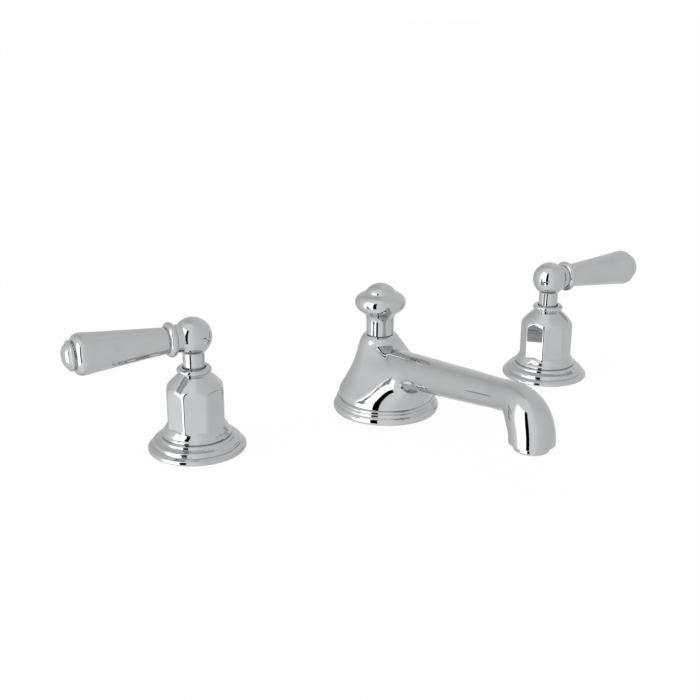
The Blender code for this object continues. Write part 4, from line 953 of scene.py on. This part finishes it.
for side, direction in SIDES_OF:
    body = side + "_handle"
    plated(side + "_neck_sleeve", neck_outline, 96, True, on_handle(direction), body, side + "_neck")
    ball = turned(side + "_ball_turning", ball_outline, 128)
    lying = Matrix.Rotation(direction * math.pi / 2, 4, "Y")
    cut(ball, turned("boss", boss_outline, 128, False, lying), "UNION")
    cut(ball, bar(Vector(), BACK, 2 * BALL, SCREW_HOLE))
    cut(ball, bar(ACROSS * direction * SOCKET_FLOOR, ACROSS * direction, BALL, LEVER_SOCKET))

    def round_skin(points):
        far = np.linalg.norm(points, axis=1, keepdims=True)
        known = (np.abs(far[:, 0] - BALL) < TINY) & (points[:, 0] * direction < BOSS_ROOT)
        return known, points / np.maximum(far, GUARD)

    turn_normals(ball, round_skin)
    ball.data.transform(on_handle(direction, BALL_HEIGHT))
    install(ball, turned_chrome, "chrome", body, side + "_ball")
    screw = turned(side + "_set_screw", screw_outline, 48, threads=[(*SCREW_THREAD, 0.0003)])
    cut(screw, bar(Vector((0, 0, SCREW_END - KEY_DEPTH)), UP, 2 * KEY_DEPTH, KEY, 6))
    crisp(screw)
    screw.data.transform(on_handle(direction, BALL_HEIGHT) @ Matrix.Rotation(-math.pi / 2, 4, "X"))
    install(screw, black_steel, "steel", body, side + "_grub_screw")

# Lever collars, levers and finials
# All turned: a ring with a round edge between ball and lever, a grip that swells away from the
# ball, and a button screwed into its end.
LEVER_RING, LEVER_RING_PLACE, LEVER_RING_HALF = 0.0089, 0.0120, 0.0021
EDGE_CENTRE, LEVER_RING_BORE = 0.0069, 0.0035
half_turn = np.linspace(-math.pi / 2, math.pi / 2, 25)
ring_outline = [
    (LEVER_RING_BORE, LEVER_RING_PLACE - LEVER_RING_HALF),
    *round_edge(EDGE_CENTRE, LEVER_RING, LEVER_RING_PLACE, LEVER_RING_HALF, half_turn),
    (LEVER_RING_BORE, LEVER_RING_PLACE + LEVER_RING_HALF),
]
LEVER_STUD, LEVER_STUD_START = 0.0032, 0.0052
LEVER_START, LEVER_END = LEVER_RING_PLACE + LEVER_RING_HALF + 0.0001, 0.0608
FINIAL_SOCKET, FINIAL_SOCKET_FLOOR = 0.0025, 0.0540
lever_outline = [
    (0.0, LEVER_STUD_START), (LEVER_STUD, LEVER_STUD_START), (LEVER_STUD, LEVER_START),
] + rounded([
    (LEVER_STUD, LEVER_START), (0.00655, LEVER_START, 0.0002), (0.00675, LEVER_START + 0.0016),
]) + flowing([
    (0.0068, 0.0160), (0.0075, 0.0247), (0.0084, 0.0347), (0.0093, 0.0447), (0.01013, 0.0535),
    (0.0104, 0.0566), (0.01008, 0.0586), (0.0091, 0.0600), (0.0078, LEVER_END),
], 120) + [
    (FINIAL_SOCKET, LEVER_END), (FINIAL_SOCKET, FINIAL_SOCKET_FLOOR), (0.0, FINIAL_SOCKET_FLOOR),
]
FINIAL, FINIAL_LENGTH, FINIAL_STUD = 0.0076, 0.0049, 0.0022
finial_start, stud_end = LEVER_END + 0.0003, FINIAL_SOCKET_FLOOR + 0.0003
finial_outline = [(0.0, stud_end), (FINIAL_STUD, stud_end), (FINIAL_STUD, finial_start)] + rounded([
    (FINIAL_STUD, finial_start), (0.0070, finial_start, 0.0003), (FINIAL, finial_start + 0.0008, 0.0007),
    (0.00745, finial_start + 0.0019, 0.0007), (0.0061, finial_start + 0.0024, 0.0003),
    (0.00585, finial_start + 0.0030, 0.0004),
]) + flowing([
    (0.00565, finial_start + 0.0031), (0.0045, finial_start + 0.0040), (0.0026, finial_start + 0.00465),
    (0.0, finial_start + FINIAL_LENGTH),
], 20)
for side, direction in SIDES_OF:
    lying, body = on_handle(direction, BALL_HEIGHT, True), side + "_handle"
    plated(side + "_lever_ring", ring_outline, 128, True, lying, body, side + "_lever_collar")
    plated(side + "_lever_grip", lever_outline, 128, False, lying, body, side + "_lever")
    plated(side + "_lever_finial", finial_outline, 96, False, lying, body, side + "_finial")

# Studio
# A white floor at the deck's height. The chrome mirrors pale surroundings that are greyer behind
# and at the right, one tall soft light at the left and a narrow black flag beside it.
SOFT_RIGHT, SOFT_LEVEL = -65.3, 2.1
GREY_RANGE = 1.2
GREY_BY_BEARING = (
    (-180, 0.61), (-150, 0.78), (-120, 0.96), (-105, 1.03), (-30, 1.03), (0, 0.87), (30, 0.81),
    (60, 0.785), (75, 0.765), (90, 0.775), (120, 0.80), (150, 0.745), (180, 0.61),
)
world = bpy.data.worlds.new("studio")
bpy.context.scene.world = world
world.use_nodes = True
tree = world.node_tree
heading = node(tree, "SeparateXYZ", Vector=node(tree, "TexCoord").outputs["Generated"])
east, north, rise = heading.outputs
bearing = sums(tree, "ARCTAN2", east, sums(tree, "MULTIPLY", north, -1.0))
lift = sums(tree, "ARCSINE", rise)
whole_turn = node(tree, "MapRange", Value=bearing, From_Min=-math.pi, From_Max=math.pi)
grey = node(tree, "ValToRGB", i0=whole_turn.outputs["Result"])
stops = grey.color_ramp.elements
while len(stops) > 1:
    stops.remove(stops[-1])
for degrees, level in GREY_BY_BEARING:
    stop = stops[0] if degrees == -180 else stops.new((degrees + 180) / 360)
    stop.color = (level / GREY_RANGE, level / GREY_RANGE, level / GREY_RANGE, 1)


def window(**degrees):
    """One inside a span of bearings and heights, with its own softness at each edge."""
    at = {name: math.radians(value) for name, value in degrees.items()}
    mask = 1.0
    for value, edge, softness in (
        (bearing, at["left"], at["soft_left"]), (bearing, at["right"], -at["soft_right"]),
        (lift, at["top"], -at["soft_ends"]), (lift, at["bottom"], at["soft_ends"]),
    ):
        mask = sums(tree, "MULTIPLY", mask, ramp(tree, value, edge - softness, edge + softness))
    return mask


soft = window(left=-110, right=SOFT_RIGHT, top=47, bottom=-34, soft_left=9, soft_right=0.6, soft_ends=5)
flag = window(left=SOFT_RIGHT, right=-49.3, top=48, bottom=-30, soft_left=0.6, soft_right=0.8, soft_ends=3)
level = sums(tree, "MULTIPLY", grey.outputs[0], GREY_RANGE)
level = sums(tree, "MULTIPLY_ADD", soft, sums(tree, "SUBTRACT", SOFT_LEVEL, level), level)
level = sums(tree, "MULTIPLY", level, sums(tree, "SUBTRACT", 1.0, flag))
camera_ray = node(tree, "LightPath").outputs["Is Camera Ray"]
level = sums(tree, "MULTIPLY", level, sums(tree, "SUBTRACT", 1.0, camera_ray))
tree.links.new(sums(tree, "ADD", level, camera_ray), tree.nodes["Background"].inputs["Color"])

FLOOR, FLOOR_HEIGHT, FLOOR_SHADOW = 6, -0.0003, 0.045
corners = [(-FLOOR, -FLOOR), (FLOOR, -FLOOR), (FLOOR, FLOOR), (-FLOOR, FLOOR)]
floor = mesh_piece("floor", [(x, y, FLOOR_HEIGHT) for x, y in corners], [(0, 1, 2, 3)])
paper, tree, shader = surface("white_deck")
tree.nodes.remove(shader)
path = node(tree, "LightPath").outputs
shade = node(tree, "BsdfDiffuse", Color=(0.9, 0.9, 0.9, 1)).outputs[0]
glow = node(tree, "Emission", Color=(1, 1, 1, 1), Strength=1.0).outputs[0]
clear = node(tree, "BsdfTransparent").outputs[0]
seen = node(tree, "MixShader", i0=FLOOR_SHADOW, i1=glow, i2=shade).outputs[0]
lit = node(tree, "MixShader", i0=path["Is Camera Ray"], i1=shade, i2=seen).outputs[0]
mixed = node(tree, "MixShader", i0=path["Is Glossy Ray"], i1=lit, i2=clear).outputs[0]
tree.links.new(mixed, tree.nodes["Material Output"].inputs["Surface"])
coat(floor, paper)

# Camera
# It stands at the photograph's viewpoint: half a step to the left, a little above the handles.
CAMERA_LENS, CAMERA_SENSOR = 55.503, 36
CAMERA_PLACE = Vector((-0.30089, -0.48523, 0.22739))
CAMERA_TARGET = Vector((-0.023413, 0.000212, 0.037653))
CAMERA_ROLL = math.radians(0.17)
camera_data = bpy.data.cameras.new("camera")
camera_data.lens = CAMERA_LENS
camera_data.sensor_width = CAMERA_SENSOR
camera = bpy.data.objects.new("camera", camera_data)
bpy.context.scene.collection.objects.link(camera)
look = (CAMERA_TARGET - CAMERA_PLACE).normalized()
right = look.cross(UP).normalized()
turn = Matrix((right, right.cross(look), -look)).transposed() @ Matrix.Rotation(CAMERA_ROLL, 3, "Z")
camera.matrix_world = Matrix.Translation(CAMERA_PLACE) @ turn.to_4x4()
bpy.context.scene.camera = camera
bpy.context.scene.view_settings.view_transform = "Standard"
